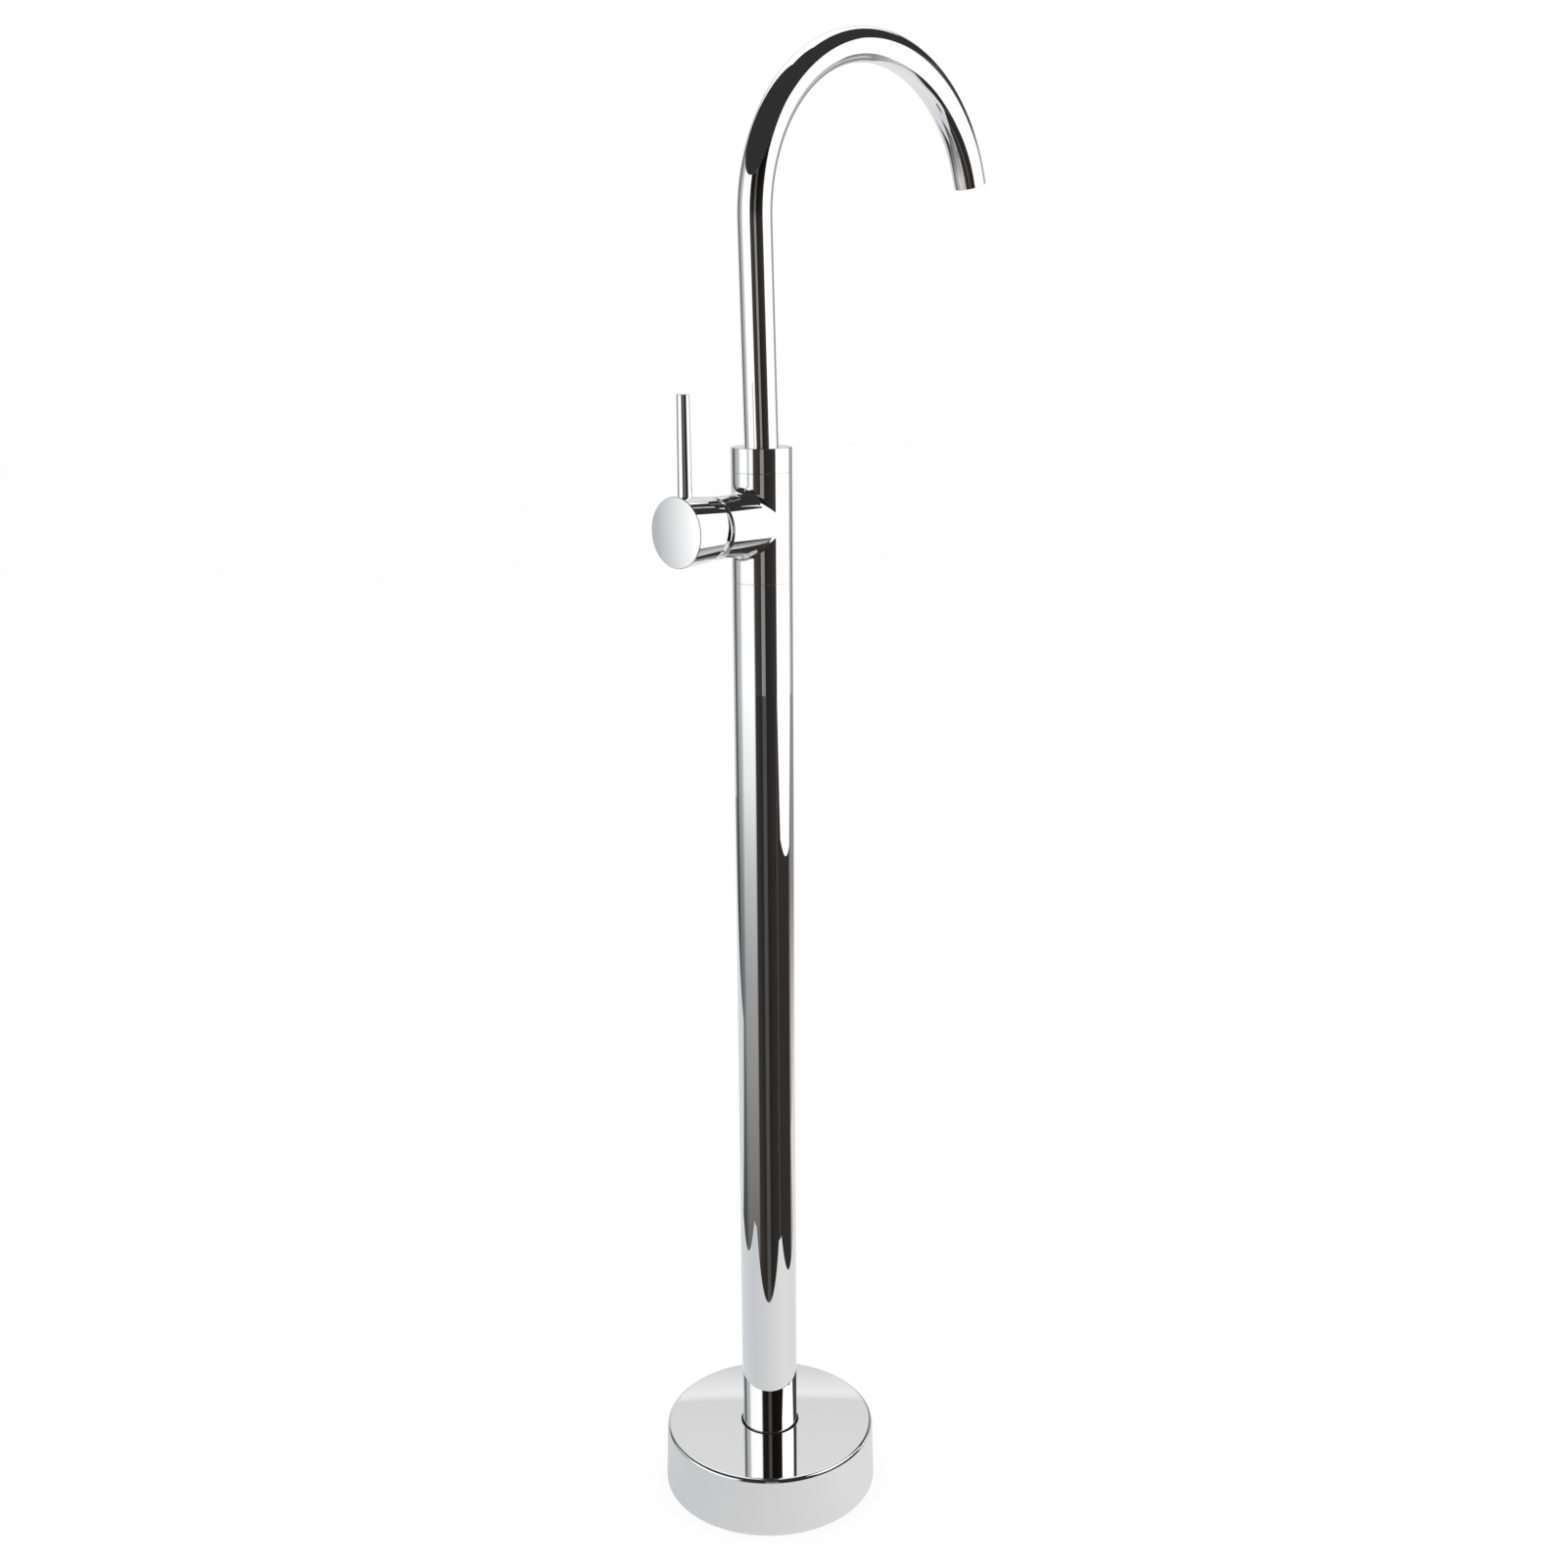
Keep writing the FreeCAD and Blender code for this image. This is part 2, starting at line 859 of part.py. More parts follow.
def draw_spout_line(sketch):
    """Riser, lean, leaning riser, bend and outlet, tangent to each other and dimensioned."""
    line = spout_line()

    def at(name):
        return Vector(line[name][0], line[name][1], 0)

    riser = sketch.addGeometry(Part.LineSegment(at("start"), at("lean_start")), False)
    lean = sketch.addGeometry(
        Part.Arc(at("lean_start"), at("lean_middle"), at("lean_end")), False
    )
    leaning = sketch.addGeometry(Part.LineSegment(at("lean_end"), at("bend_start")), False)
    bend = sketch.addGeometry(
        Part.Arc(at("bend_start"), at("bend_middle"), at("bend_end")), False
    )
    outlet = sketch.addGeometry(Part.LineSegment(at("bend_end"), at("outlet")), False)

    # The lean runs counterclockwise and the bend clockwise, so the bend's ends are swapped.
    sketch.addConstraint(Sketcher.Constraint("Tangent", riser, 2, lean, 1))
    sketch.addConstraint(Sketcher.Constraint("Tangent", lean, 2, leaning, 1))
    sketch.addConstraint(Sketcher.Constraint("Tangent", leaning, 2, bend, 2))
    sketch.addConstraint(Sketcher.Constraint("Tangent", bend, 1, outlet, 1))
    sketch.addConstraint(Sketcher.Constraint("PointOnObject", riser, 1, -2))
    sketch.addConstraint(Sketcher.Constraint("Vertical", riser))

    collar_top = body_top() + s.collar_height
    hold_point(sketch, (riser, 1), "DistanceY", shoulder_bottom() + s.shoulder_thick)
    hold_point(sketch, (riser, 2), "DistanceY", collar_top + s.straight_rise)
    hold_point(sketch, (leaning, 2), "DistanceY", collar_top + s.riser_height)
    for side, radius in ((lean, s.lean_radius), (bend, s.bend_radius)):
        number = sketch.addConstraint(Sketcher.Constraint("Radius", side, radius.value))
        sketch.setExpression(f"Constraints[{number}]", radius.text)
    way_up = 90 + s.riser_lean
    for side, angle in ((leaning, way_up), (outlet, way_up - s.bend_angle)):
        number = sketch.addConstraint(
            Sketcher.Constraint("Angle", side, math.radians(angle.value))
        )
        sketch.setExpression(f"Constraints[{number}]", angle.text)
    number = sketch.addConstraint(
        Sketcher.Constraint("Distance", outlet, s.outlet_length.value)
    )
    sketch.setExpression(f"Constraints[{number}]", s.outlet_length.text)


def make_spout_tube():
    """The bent tube: one round section swept along the centre line, then bored out."""
    body = doc.addObject("PartDesign::Body", "spout_tube")
    path = sketch_on(body, "YZ_Plane", "spout_path")
    draw_spout_line(path)
    start = shoulder_bottom() + s.shoulder_thick
    bore = s.spout_dia / 2 - s.spout_wall
    for kind, name, radius in (
        ("PartDesign::AdditivePipe", "spout_outside", s.spout_dia / 2),
        ("PartDesign::SubtractivePipe", "spout_bore", bore),
    ):
        section = sketch_on(body, "XY_Plane", name + "_section")
        section.AttachmentOffset = Placement(Vector(0, 0, start.value), UPRIGHT)
        section.setExpression("AttachmentOffset.Base.z", start.text)
        circle = section.addGeometry(Part.Circle(Vector(), Vector(0, 0, 1), radius.value))
        section.addConstraint(Sketcher.Constraint("Coincident", circle, 3, -1, 1))
        number = section.addConstraint(Sketcher.Constraint("Radius", circle, radius.value))
        section.setExpression(f"Constraints[{number}]", radius.text)
        pipe = body.newObject(kind, name)
        pipe.Profile = section
        pipe.Spine = path
        doc.recompute()
    return body


def at_outlet(piece):
    """Puts a piece that is made about its own Z axis on the end of the tube, facing out."""
    line = spout_line()
    facing = Rotation(Vector(0, 0, 1), Vector(0, *line["way_out"]))
    piece.Placement = Placement(Vector(0, *line["outlet"]), facing)
    return piece


def make_aerator():
    """A sleeve in the mouth of the tube, the perforated insert and the washer behind it."""
    mouth = s.spout_dia / 2 - s.spout_wall
    front = s.aerator_inset * -1
    back = front - s.aerator_length
    lip = front - s.lip_thick
    bore = mouth - s.aerator_wall
    sleeve = turned(
        "aerator_sleeve",
        [
            (bore, back),
            (mouth - s.running, back),
            (mouth - s.running, front),
            (bore - s.aerator_lip, front),
            (bore - s.aerator_lip, lip),
            (bore, lip),
        ],
    )
    insert = bore - s.running
    insert_back = back + s.washer_thick
    plate = rod("insert_plate", 2 * insert, lip - insert_back, z=insert_back)
    holes = [rod("insert_hole_0", s.spray_hole, s.aerator_length, z=back)]
    for row in range(1, 1 + round(s.spray_rings.value)):
        for index in range(6 * row):
            angle = 2 * math.pi * index / (6 * row)
            holes.append(
                rod(
                    f"insert_hole_{row}_{index}",
                    s.spray_hole,
                    s.aerator_length,
                    x=s.spray_pitch * (row * math.cos(angle)),
                    y=s.spray_pitch * (row * math.sin(angle)),
                    z=back,
                )
            )
    perforated = cut("aerator_insert", plate, *holes)
    washer = ring("aerator_seal", 2 * (insert - s.washer_width), 2 * insert, back, insert_back)
    return [at_outlet(sleeve), at_outlet(perforated), at_outlet(washer)]


# ---------------------------------------------------------------- cartridge


def base_front():
    return s.seat_depth + s.base_thick


def disc_front():
    return base_front() + s.disc_thick


def carrier_back():
    """Where the moving disc ends and its carrier begins."""
    return disc_front() + s.running + s.moving_thick


def neck_start():
    return s.pivot_reach - s.neck_behind


def neck_end():
    return s.pivot_reach + s.neck_ahead


def nut_end():
    return s.boss_reach - s.nut_sink


def disc_seat():
    """Radius of the fixed disc and of the turning part's flange."""
    return s.cartridge_dia / 2 - s.disc_margin


def ported(name, blank, dia, first, last):
    """Bores the hot, cold and mixed ports through a blank that lies along the boss."""
    holes = []
    for port, across, up in port_places():
        holes.append(rod(f"{name}_{port}", dia, last - first, x=across, y=up, z=first))
    return cut(name, blank, *holes)


def make_cartridge_base():
    """The plastic foot of the cartridge with its three ports and their seal seats."""
    back = s.seat_depth
    blank = rod("base_blank", s.cartridge_dia, s.base_thick, z=back)
    bored = ported("base_bored", blank, s.port_dia, back, base_front())
    seat = port_seal_dia() + 2 * s.slip
    seats = ported("cartridge_base", bored, seat, back, back + s.seal_height)
    return along_boss(seats)


def port_seal_dia():
    return s.port_dia + 2 * s.port_seal_wall


def make_port_seals():
    """Three rubber rings between the body's ports and the cartridge."""
    seals = []
    for port, across, up in port_places():
        seals.append(
            ring(
                f"{port}_port_seal",
                s.port_dia,
                port_seal_dia(),
                0,
                s.seal_height,
                x=across,
                y=up,
                z=s.seat_depth,
            )
        )
    return along_boss(grouped("port_seals", seals))


def make_fixed_disc():
    """The ceramic disc that stays still on the cartridge's foot."""
    blank = rod("fixed_disc_blank", 2 * disc_seat(), s.disc_thick, z=base_front())
    return along_boss(ported("fixed_disc", blank, s.disc_port, base_front(), disc_front()))


def make_cartridge_housing():
    """The cup round the discs, with a neck that the spindle carrier turns in."""
    outer = s.cartridge_dia / 2
    cavity = outer - s.cartridge_wall
    seat = disc_seat() + s.slip
    neck = s.carrier_dia / 2 + s.running
    housing = turned(
        "cartridge_housing",
        [
            (seat, base_front()),
            (outer, base_front()),
            (outer, neck_end()),
            (neck, neck_end()),
            (neck, neck_start()),
            (cavity, neck_start()),
            (cavity, disc_front()),
            (seat, disc_front()),
        ],
    )
    return along_boss(housing)


def make_moving_disc():
    """The ceramic disc that slides and turns; the hollow in its back joins the ports."""
    back = disc_front() + s.running
    blank = rod("moving_disc_blank", s.disc_dia, s.moving_thick, z=back)
    top = s.port_circle / 4 - s.port_dia / 2 - s.hollow_web
    hollow = box(
        "mixing_hollow",
        s.hollow_width,
        s.hollow_height,
        s.hollow_depth,
        x=s.hollow_width / -2,
        y=top - s.hollow_height,
        z=back,
    )
    return along_boss(cut("moving_disc", blank, hollow))


def make_disc_carrier():
    """The plastic plate on the moving disc, with the hole for the ball of the spindle."""
    back = carrier_back()
    thick = neck_start() - s.carrier_flange - 2 * s.slip - back
    blank = rod("disc_carrier_blank", s.disc_dia, thick, z=back)
    eye = rod("ball_eye", s.ball_dia + 2 * s.ball_play, thick, z=back)
    return along_boss(cut("disc_carrier", blank, eye))


def make_spindle_carrier():
    """The part that turns in the neck with the knob and carries the pivot of the lever."""
    radius = s.carrier_dia / 2
    back = neck_start() - s.carrier_flange
    front = neck_end() + s.carrier_front
    blank = turned(
        "carrier_blank",
        [
            (0, back),
            (disc_seat(), back),
            (disc_seat(), neck_start() - s.running),
            (radius, neck_start() - s.running),
            (radius, front),
            (0, front),
        ],
    )
    width = s.stem_dia + 2 * s.free
    slot = box(
        "spindle_slot",
        width,
        s.slot_below + s.slot_above,
        front - back,
        x=width / -2,
        y=s.slot_below * -1,
        z=back,
    )
    pivot = rod("carrier_pin_hole", s.pin_dia, s.carrier_dia)
    place(pivot, x=s.carrier_dia / -2, z=s.pivot_reach, turn=ACROSS)
    return along_boss(cut("spindle_carrier", blank, slot, pivot))


def make_spindle_pin():
    """The steel pin that the spindle tilts on, across the carrier."""
    length = s.carrier_dia - 2 * s.free
    pin = rod("spindle_pin", s.pin_dia - 2 * s.running, length)
    return place(
        pin,
        x=length / -2,
        y=s.pivot_reach * -1,
        z=s.handle_height,
        turn=ACROSS,
    )


def nut_radius():
    return s.cartridge_dia / 2 + s.free - s.slip


def make_cartridge_nut():
    """The brass ring that presses the housing on its seat, with slots for the spanner."""
    bore = s.carrier_dia + 2 * s.nut_play
    blank = ring("nut_blank", bore, 2 * nut_radius(), neck_end(), nut_end())
    slots = []
    reach = nut_radius() + s.overrun
    for index in range(3):
        slot = box(
            f"nut_slot_{index}",
            2 * reach,
            s.nut_slot,
            s.nut_slot_depth,
            x=reach * -1,
            y=s.nut_slot / -2,
        )
        arm = grouped(f"nut_slot_arm_{index}", [slot])
        turn = Rotation(Vector(0, 0, 1), 60 * index)
        slots.append(place(arm, z=nut_end() - s.nut_slot_depth, turn=turn))
    return along_boss(cut("cartridge_nut", blank, *slots))


def make_dome_cap():
    """The thin domed cap over the nut, round the spindle's pivot."""
    rim = nut_radius() - s.slip
    foot = nut_end() - s.pivot_reach
    brow = foot + s.cap_brow
    wall = s.cap_wall
    outer = (rim * rim + brow * brow).root()
    inner = outer - wall
    mouth = s.cap_mouth / 2
    inside = rim - s.cap_rim
    cap = turned(
        "dome_cap",
        [
            (inside, foot),
            (rim, foot),
            (rim, brow),
            (mouth, (outer * outer - mouth * mouth).root(), outer),
            (mouth, (inner * inner - mouth * mouth).root()),
            (inside, (inner * inner - inside * inside).root(), inner),
        ],
    )
    return place(
        cap,
        y=s.pivot_reach * -1,
        z=s.handle_height,
        turn=TO_FRONT,
    )


# ---------------------------------------------------------------- lever


def stem_end():
    return s.lever_reach + s.lever_screw / 2 + s.stem_end


def make_spindle():
    """The lever's stem: a ball in the disc carrier, the pivot eye and a rod to the knob."""
    stem = s.stem_dia / 2
    neck = s.stem_neck / 2
    tail = s.pivot_reach - s.ball_arm
    shaft = turned(
        "spindle_shaft",
        [
            (0, tail),
            (neck, tail),
            (neck, tail + s.stem_neck_length),
            (stem, tail + s.stem_neck_length + s.stem_slope),
            (stem, stem_end() - s.stem_chamfer),
            (stem - s.stem_chamfer, stem_end()),
            (0, stem_end()),
        ],
    )
    ball = doc.addObject("Part::Sphere", "spindle_ball")
    ball.setExpression("Radius", (s.ball_dia / 2).text)
    place(ball, z=tail)
    eye = rod("spindle_eye", s.pin_dia, s.stem_dia)
    place(eye, x=s.stem_dia / -2, z=s.pivot_reach, turn=ACROSS)
    return along_boss(cut("spindle", fused("spindle_blank", shaft, ball), eye))


def lever_seat():
    """Height above the handle's axis of the flat that the lever's foot stands on."""
    share = (s.lever_reach - s.boss_reach) / (s.knob_reach - s.boss_reach)
    flare = (s.knob_face_dia - s.knob_back_dia) / 2 * share
    return s.knob_back_dia / 2 + flare - s.lever_sink


def make_knob_blank():
    """The tapered cup with a thick web for the stem, cut off at a slant behind."""
    face = s.knob_face_dia / 2
    back = s.knob_back_dia / 2
    bore = back - s.knob_wall
    web = s.knob_reach - s.knob_web
    edge = s.knob_edge
    front = s.knob_reach - s.knob_dome
    flat = face - edge
    dome = (flat * flat + s.knob_dome * s.knob_dome) / (2 * s.knob_dome)
    socket = s.stem_dia / 2 + s.running
    bottom = stem_end() + s.free
    body = turned(
        "knob_blank",
        [
            (bore, s.boss_reach),
            (back, s.boss_reach),
            (face, front - edge),
            (flat, front, edge),
            (0, s.knob_reach, dome),
            (0, bottom),
            (socket, bottom),
            (socket, web),
            (bore - s.web_chamfer, web),
            (bore, web - s.web_chamfer),
        ],
    )
    doc.recompute()
    slant = sketch_on(body, "YZ_Plane", "knob_slant")
    reach = s.knob_face_dia
    top = s.boss_reach + s.knob_gap_top
    foot = s.boss_reach + s.knob_gap_foot
    slope = (foot - top) / s.knob_back_dia
    behind = s.boss_reach - s.overrun
    outlined(
        slant,
        [
            (reach * -1, behind - slope * reach),
            (reach, behind - slope * reach),
            (reach, (top + foot) / 2 - slope * reach),
            (reach * -1, (top + foot) / 2 + slope * reach),
        ],
    )
    pocket = body.newObject("PartDesign::Pocket", "knob_slant_cut")
    pocket.Profile = slant
    pocket.Midplane = True
    pocket.setExpression("Length", (2 * reach).text)
    body.Tip = pocket
    return body


def make_handle_knob():
    """The knob: its blank with the stepped hole for the lever and the set screw."""
    upward = Rotation(Vector(1, 0, 0), -90)
    seat = lever_seat()
    hole = rod("lever_screw_hole", s.lever_screw, seat + s.overrun)
    place(hole, z=s.lever_reach, turn=upward)
    recess = rod("lever_seat_hole", s.lever_foot_dia + 2 * s.slip, s.knob_face_dia)
    place(recess, y=seat, z=s.lever_reach, turn=upward)
    return along_boss(cut("handle_knob", make_knob_blank(), hole, recess))


def make_lever_pin():
    """The slim lever: a slightly tapered rod with a screw at its foot."""
    foot = s.lever_foot_dia / 2
    tip = s.lever_tip_dia / 2
    seat = lever_seat()
    screw = s.lever_screw / 2 - s.running
    end = seat - s.lever_thread
    return turned(
        "lever_pin",
        [
            (0, end),
            (screw - s.thread_chamfer, end),
            (screw, end + s.thread_chamfer),
            (screw, seat),
            (foot, seat),
            (tip, s.lever_top - s.lever_edge),
            (tip - s.lever_edge, s.lever_top),
            (0, s.lever_top),
        ],
        y=s.lever_reach * -1,
        z=s.handle_height,
    )


def make_handle_grub_screw():
    """The set screw under the lever that holds the knob on the stem."""
    screw = set_screw("handle_grub_screw", s.lever_screw - 2 * s.running, s.grub_length)
    return place(
        screw,
        y=s.lever_reach * -1,
        z=s.handle_height + s.stem_dia / 2,
    )


# ---------------------------------------------------------------- the whole object

NODES = [
    make_floor_flange(),
    make_column_grub_screws(),
    make_base_cover(),
    make_cover_seal(),
    make_column_tube(),
    *make_supply("hot", -1),
    *make_supply("cold", 1),
    make_hose_ferrules(),
    make_mixer_body(),
    make_spout_collar(),
    *make_slide_rings(),
    make_spout_nipple(),
    make_nipple_o_rings(),
    make_spout_tube(),
    *make_aerator(),
    make_cartridge_base(),
    make_port_seals(),
    make_fixed_disc(),
    make_cartridge_housing(),
    make_moving_disc(),
    make_disc_carrier(),
    make_spindle_carrier(),
    make_spindle_pin(),
    make_cartridge_nut(),
    make_dome_cap(),
    make_spindle(),
    make_handle_knob(),
    make_lever_pin(),
    make_handle_grub_screw(),
]

doc.recompute()

for item in doc.Objects:
    if "Invalid" in item.State or "Error" in item.State:
        raise RuntimeError(f"{item.Name} failed: {item.State}")

for node in NODES:
    if node.Shape.isNull() or not node.Shape.isValid():
        raise RuntimeError(f"{node.Label} has no valid shape")

os.makedirs("parts", exist_ok=True)
for node in NODES:
    node.Shape.exportStep(os.path.join("parts", node.Label + ".step"))
    size = node.Shape.BoundBox
    print(
        f"{node.Label}: {len(node.Shape.Solids)} solids, volume {node.Shape.Volume:.1f},"
        f" x {size.XMin:.1f} {size.XMax:.1f} y {size.YMin:.1f} {size.YMax:.1f}"
        f" z {size.ZMin:.1f} {size.ZMax:.1f}"
    )
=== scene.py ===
import json
import math

import bpy
from mathutils import Matrix, Vector


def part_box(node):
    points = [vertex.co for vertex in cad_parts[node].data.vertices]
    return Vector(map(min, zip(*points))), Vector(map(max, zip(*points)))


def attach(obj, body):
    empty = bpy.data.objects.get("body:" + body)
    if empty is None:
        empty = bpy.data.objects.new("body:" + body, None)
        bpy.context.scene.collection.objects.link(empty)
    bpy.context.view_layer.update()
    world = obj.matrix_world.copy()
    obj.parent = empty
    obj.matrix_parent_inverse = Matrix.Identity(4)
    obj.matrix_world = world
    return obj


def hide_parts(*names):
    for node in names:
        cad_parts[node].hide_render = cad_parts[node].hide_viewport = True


# The looks of a floor standing bath filler: polished chrome on a white ground. Lengths are in
# metres. Z is up, the column stands on the origin and the mixer's boss points to -Y.

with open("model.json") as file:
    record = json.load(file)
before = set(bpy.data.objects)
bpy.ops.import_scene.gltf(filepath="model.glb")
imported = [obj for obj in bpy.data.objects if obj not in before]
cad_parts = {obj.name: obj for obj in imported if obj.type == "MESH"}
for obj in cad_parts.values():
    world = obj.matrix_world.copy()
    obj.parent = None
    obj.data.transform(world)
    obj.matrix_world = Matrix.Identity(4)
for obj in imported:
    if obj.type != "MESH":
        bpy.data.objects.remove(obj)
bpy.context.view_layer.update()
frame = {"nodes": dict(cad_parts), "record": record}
nodes = frame["nodes"]

MM = 0.001

# ------------------------------------------------------------------ sizes of the finish

# Base cover and column. The cover's radius is less at its top by its taper, and its hole is
# wider than the column by its gap all round.
COVER_WALL = 2.5 * MM
COVER_TAPER = 1.5 * MM
COVER_GAP = 1.3 * MM
COVER_ROUND = 3.2 * MM
COVER_LIP = 0.5 * MM
COVER_FOOT_EDGE = 0.4 * MM
COLUMN_WALL = 2 * MM

# Mixer body, collar and the cap on the boss. The boss's radius is less than the column's by its
# step. The middle of the cap's ball lies on the tilt axis, CAP_PIVOT in front of the column's.
JOINT_EDGE = 0.25 * MM
NECK_WALL = 3 * MM
TEE_BLEND_TOP = 7.5 * MM
TEE_BLEND_FOOT = 4.5 * MM
BOSS_STEP = 0.1 * MM
BOSS_EDGE = 0.2 * MM
CARTRIDGE_BORE = 17.8 * MM
CARTRIDGE_DEPTH = 12 * MM
COLLAR_EDGE = 0.5 * MM
COLLAR_GAP = 0.3 * MM
COLLAR_DEPTH = 11 * MM
CAP_PIVOT = 37 * MM
CAP_BALL_RADIUS = 23.6 * MM
CAP_BRIM_RADIUS = 20.9 * MM
CAP_BRIM_HEIGHT = 2.4 * MM
CAP_MOUTH_RADIUS = 12.6 * MM
CAP_WALL = 1 * MM
CAP_EDGE = 0.1 * MM

# Spout. A little above the collar it starts to lean to the boss's side. From the riser height
# over the collar on it bends over to the other side, in one large arc.
SPOUT_WALL = 1.5 * MM
LEAN_START = 1 * MM
LEAN_RADIUS = 120 * MM
RISER_LEAN = math.radians(1.7)
RISER_HEIGHT = 156.9 * MM
BEND_RADIUS = 123.4 * MM
BEND_ANGLE = math.radians(163.8)
OUTLET_LENGTH = 9.2 * MM
OUTLET_EDGE = 0.4 * MM

# Knob and lever. KNOB_WEB is how far the bottom of the hollow lies behind the face. The gaps are
# those between the boss and the knob's back rim. The solid lever's foot is sunk in the knob.
KNOB_BACK_RADIUS = 22.5 * MM
KNOB_WALL = 3.3 * MM
KNOB_WEB = 21.4 * MM
KNOB_EDGE = 0.7 * MM
KNOB_RIM_EDGE = 0.35 * MM
KNOB_DOME = 0.8 * MM
KNOB_STEM_HOLE = 3.6 * MM
KNOB_GAP_TOP = 2.7 * MM
KNOB_GAP_FOOT = 11.3 * MM
LEVER_SUNK = 9 * MM
LEVER_TIP_RADIUS = 4.6 * MM
LEVER_TIP_EDGE = 0.5 * MM

# Steps of the round forms: full turns first, then arcs.
ROUND_STEPS = 192
TUBE_STEPS = 128
LEVER_STEPS = 96
EDGE_STEPS = 5
BLEND_STEPS = 14
DOME_STEPS = 16
LEAN_STEPS = 4
BEND_STEPS = 96
KNOB_EDGE_STEPS = 6
KNOB_FACE_STEPS = 12

# ------------------------------------------------------------------ sizes read from the frame

column_low, column_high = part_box("column_tube")
column_radius = column_high.x
joint_height = column_high.z

collar_low, collar_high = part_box("spout_collar")
body_top = collar_low.z
collar_top = collar_high.z

body_low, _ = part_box("mixer_body")
boss_reach = -body_low.y
boss_radius = column_radius - BOSS_STEP

_, cover_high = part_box("base_cover")
cover_foot_radius = cover_high.x
cover_height = cover_high.z
cover_top_radius = cover_foot_radius - COVER_TAPER

knob_low, knob_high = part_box("handle_knob")
knob_face_radius = knob_high.x
knob_reach = -knob_low.y
handle_height = (knob_low.z + knob_high.z) / 2

lever_low, lever_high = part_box("lever_pin")
lever_reach = -(lever_low.y + lever_high.y) / 2
lever_foot_radius = lever_high.x
lever_top = lever_high.z

spout_low, spout_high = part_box("spout_tube")
spout_radius = spout_high.x


# ------------------------------------------------------------------ pieces made face by face


class Skin:
    """Faces of one piece, each corner with the true normal of the surface there."""

    def __init__(self):
        self.points = []
        self.index_of = {}
        self.faces = []
        self.normals = []

    def corner(self, point):
        """The number of a point; points that coincide share one."""
        key = (round(point.x, 8), round(point.y, 8), round(point.z, 8))
        if key not in self.index_of:
            self.index_of[key] = len(self.points)
            self.points.append(point.copy())
        return self.index_of[key]

    def face(self, corners):
        """Adds one face from (point, normal) corners; corners that coincide are merged."""
        indices = []
        normals = []
        for point, normal in corners:
            index = self.corner(point)
            if index not in indices:
                indices.append(index)
                normals.append(normal)
        if len(indices) < 3:
            return
        first, second, third = (self.points[index] for index in indices[:3])
        facing = (second - first).cross(third - first)
        if facing.dot(sum(normals, Vector())) < 0:
            indices.reverse()
            normals.reverse()
        self.faces.append(indices)
        self.normals.extend(normals)

    def between(self, ring_a, ring_b):
        """Joins two closed rings of (point, normal) pairs with a band of faces."""
        count = len(ring_a)
        for step in range(count):
            after = (step + 1) % count
            self.face([ring_a[step], ring_a[after], ring_b[after], ring_b[step]])

    def along(self, rings):
        """Joins each ring to the one that follows it."""
        for ring_a, ring_b in zip(rings, rings[1:]):
            self.between(ring_a, ring_b)

    def make(self, name):
        mesh = bpy.data.meshes.new(name)
        mesh.from_pydata([tuple(point) for point in self.points], [], self.faces)
        mesh.validate()
        mesh.shade_smooth()
        mesh.normals_split_custom_set([tuple(normal) for normal in self.normals])
        piece = bpy.data.objects.new(name, mesh)
        bpy.context.scene.collection.objects.link(piece)
        return piece


# A run is a short stretch of an outline: a (place, normal) pair at each of its two ends. Places
# and normals are (across, along), measured from the axis that the outline is turned about.


def rounded(corners):
    """Runs of a closed outline with rounded corners.

    A corner is (across, along) or (across, along, radius). The solid lies to the left of the
    outline as it is followed.
    """
    arcs = []
    count = len(corners)
    for index, corner in enumerate(corners):
        here = Vector(corner[:2])
        if len(corner) == 2:
            arcs.append([(here, None)])
            continue
        radius = corner[2]
        back = (Vector(corners[index - 1][:2]) - here).normalized()
        ahead = (Vector(corners[(index + 1) % count][:2]) - here).normalized()
        half = back.angle(ahead) / 2
        setback = radius / math.tan(half)
        middle = here + (back + ahead).normalized() * (radius / math.sin(half))
        first = here + back * setback - middle
        sweep = first.angle_signed(here + ahead * setback - middle)
        side = 1 if back.cross(ahead) < 0 else -1
        arc = []
        for step in range(EDGE_STEPS + 1):
            spoke = Matrix.Rotation(-sweep * step / EDGE_STEPS, 2) @ first
            arc.append((middle + spoke, spoke.normalized() * side))
        arcs.append(arc)
    runs = []
    for index, arc in enumerate(arcs):
        runs.extend(zip(arc, arc[1:]))
        start = arc[-1][0]
        end = arcs[(index + 1) % count][0][0]
        if (end - start).length > 1e-9:
            way = (end - start).normalized()
            normal = Vector((way.y, -way.x))
            runs.append(((start, normal), (end, normal)))
    return runs


def arc_runs(centre, radius, first, last, side, steps):
    """An arc between two angles; side is 1 where its outside is seen and -1 for its inside."""
    spokes = []
    for step in range(steps + 1):
        angle = first + (last - first) * step / steps
        spokes.append(Vector((math.cos(angle), math.sin(angle))))
    return [
        ((centre + one * radius, one * side), (centre + two * radius, two * side))
        for one, two in zip(spokes, spokes[1:])
    ]


def flat_runs(outer, inner, height, up):
    """An end face between two radii; up is 1 or -1."""
    normal = Vector((0, up))
    return [((Vector((outer, height)), normal), (Vector((inner, height)), normal))]


def wall_runs(radius, first, last, side):
    """A straight wall; side is 1 where it faces out and -1 where it faces the axis."""
    normal = Vector((side, 0))
    return [((Vector((radius, first)), normal), (Vector((radius, last)), normal))]


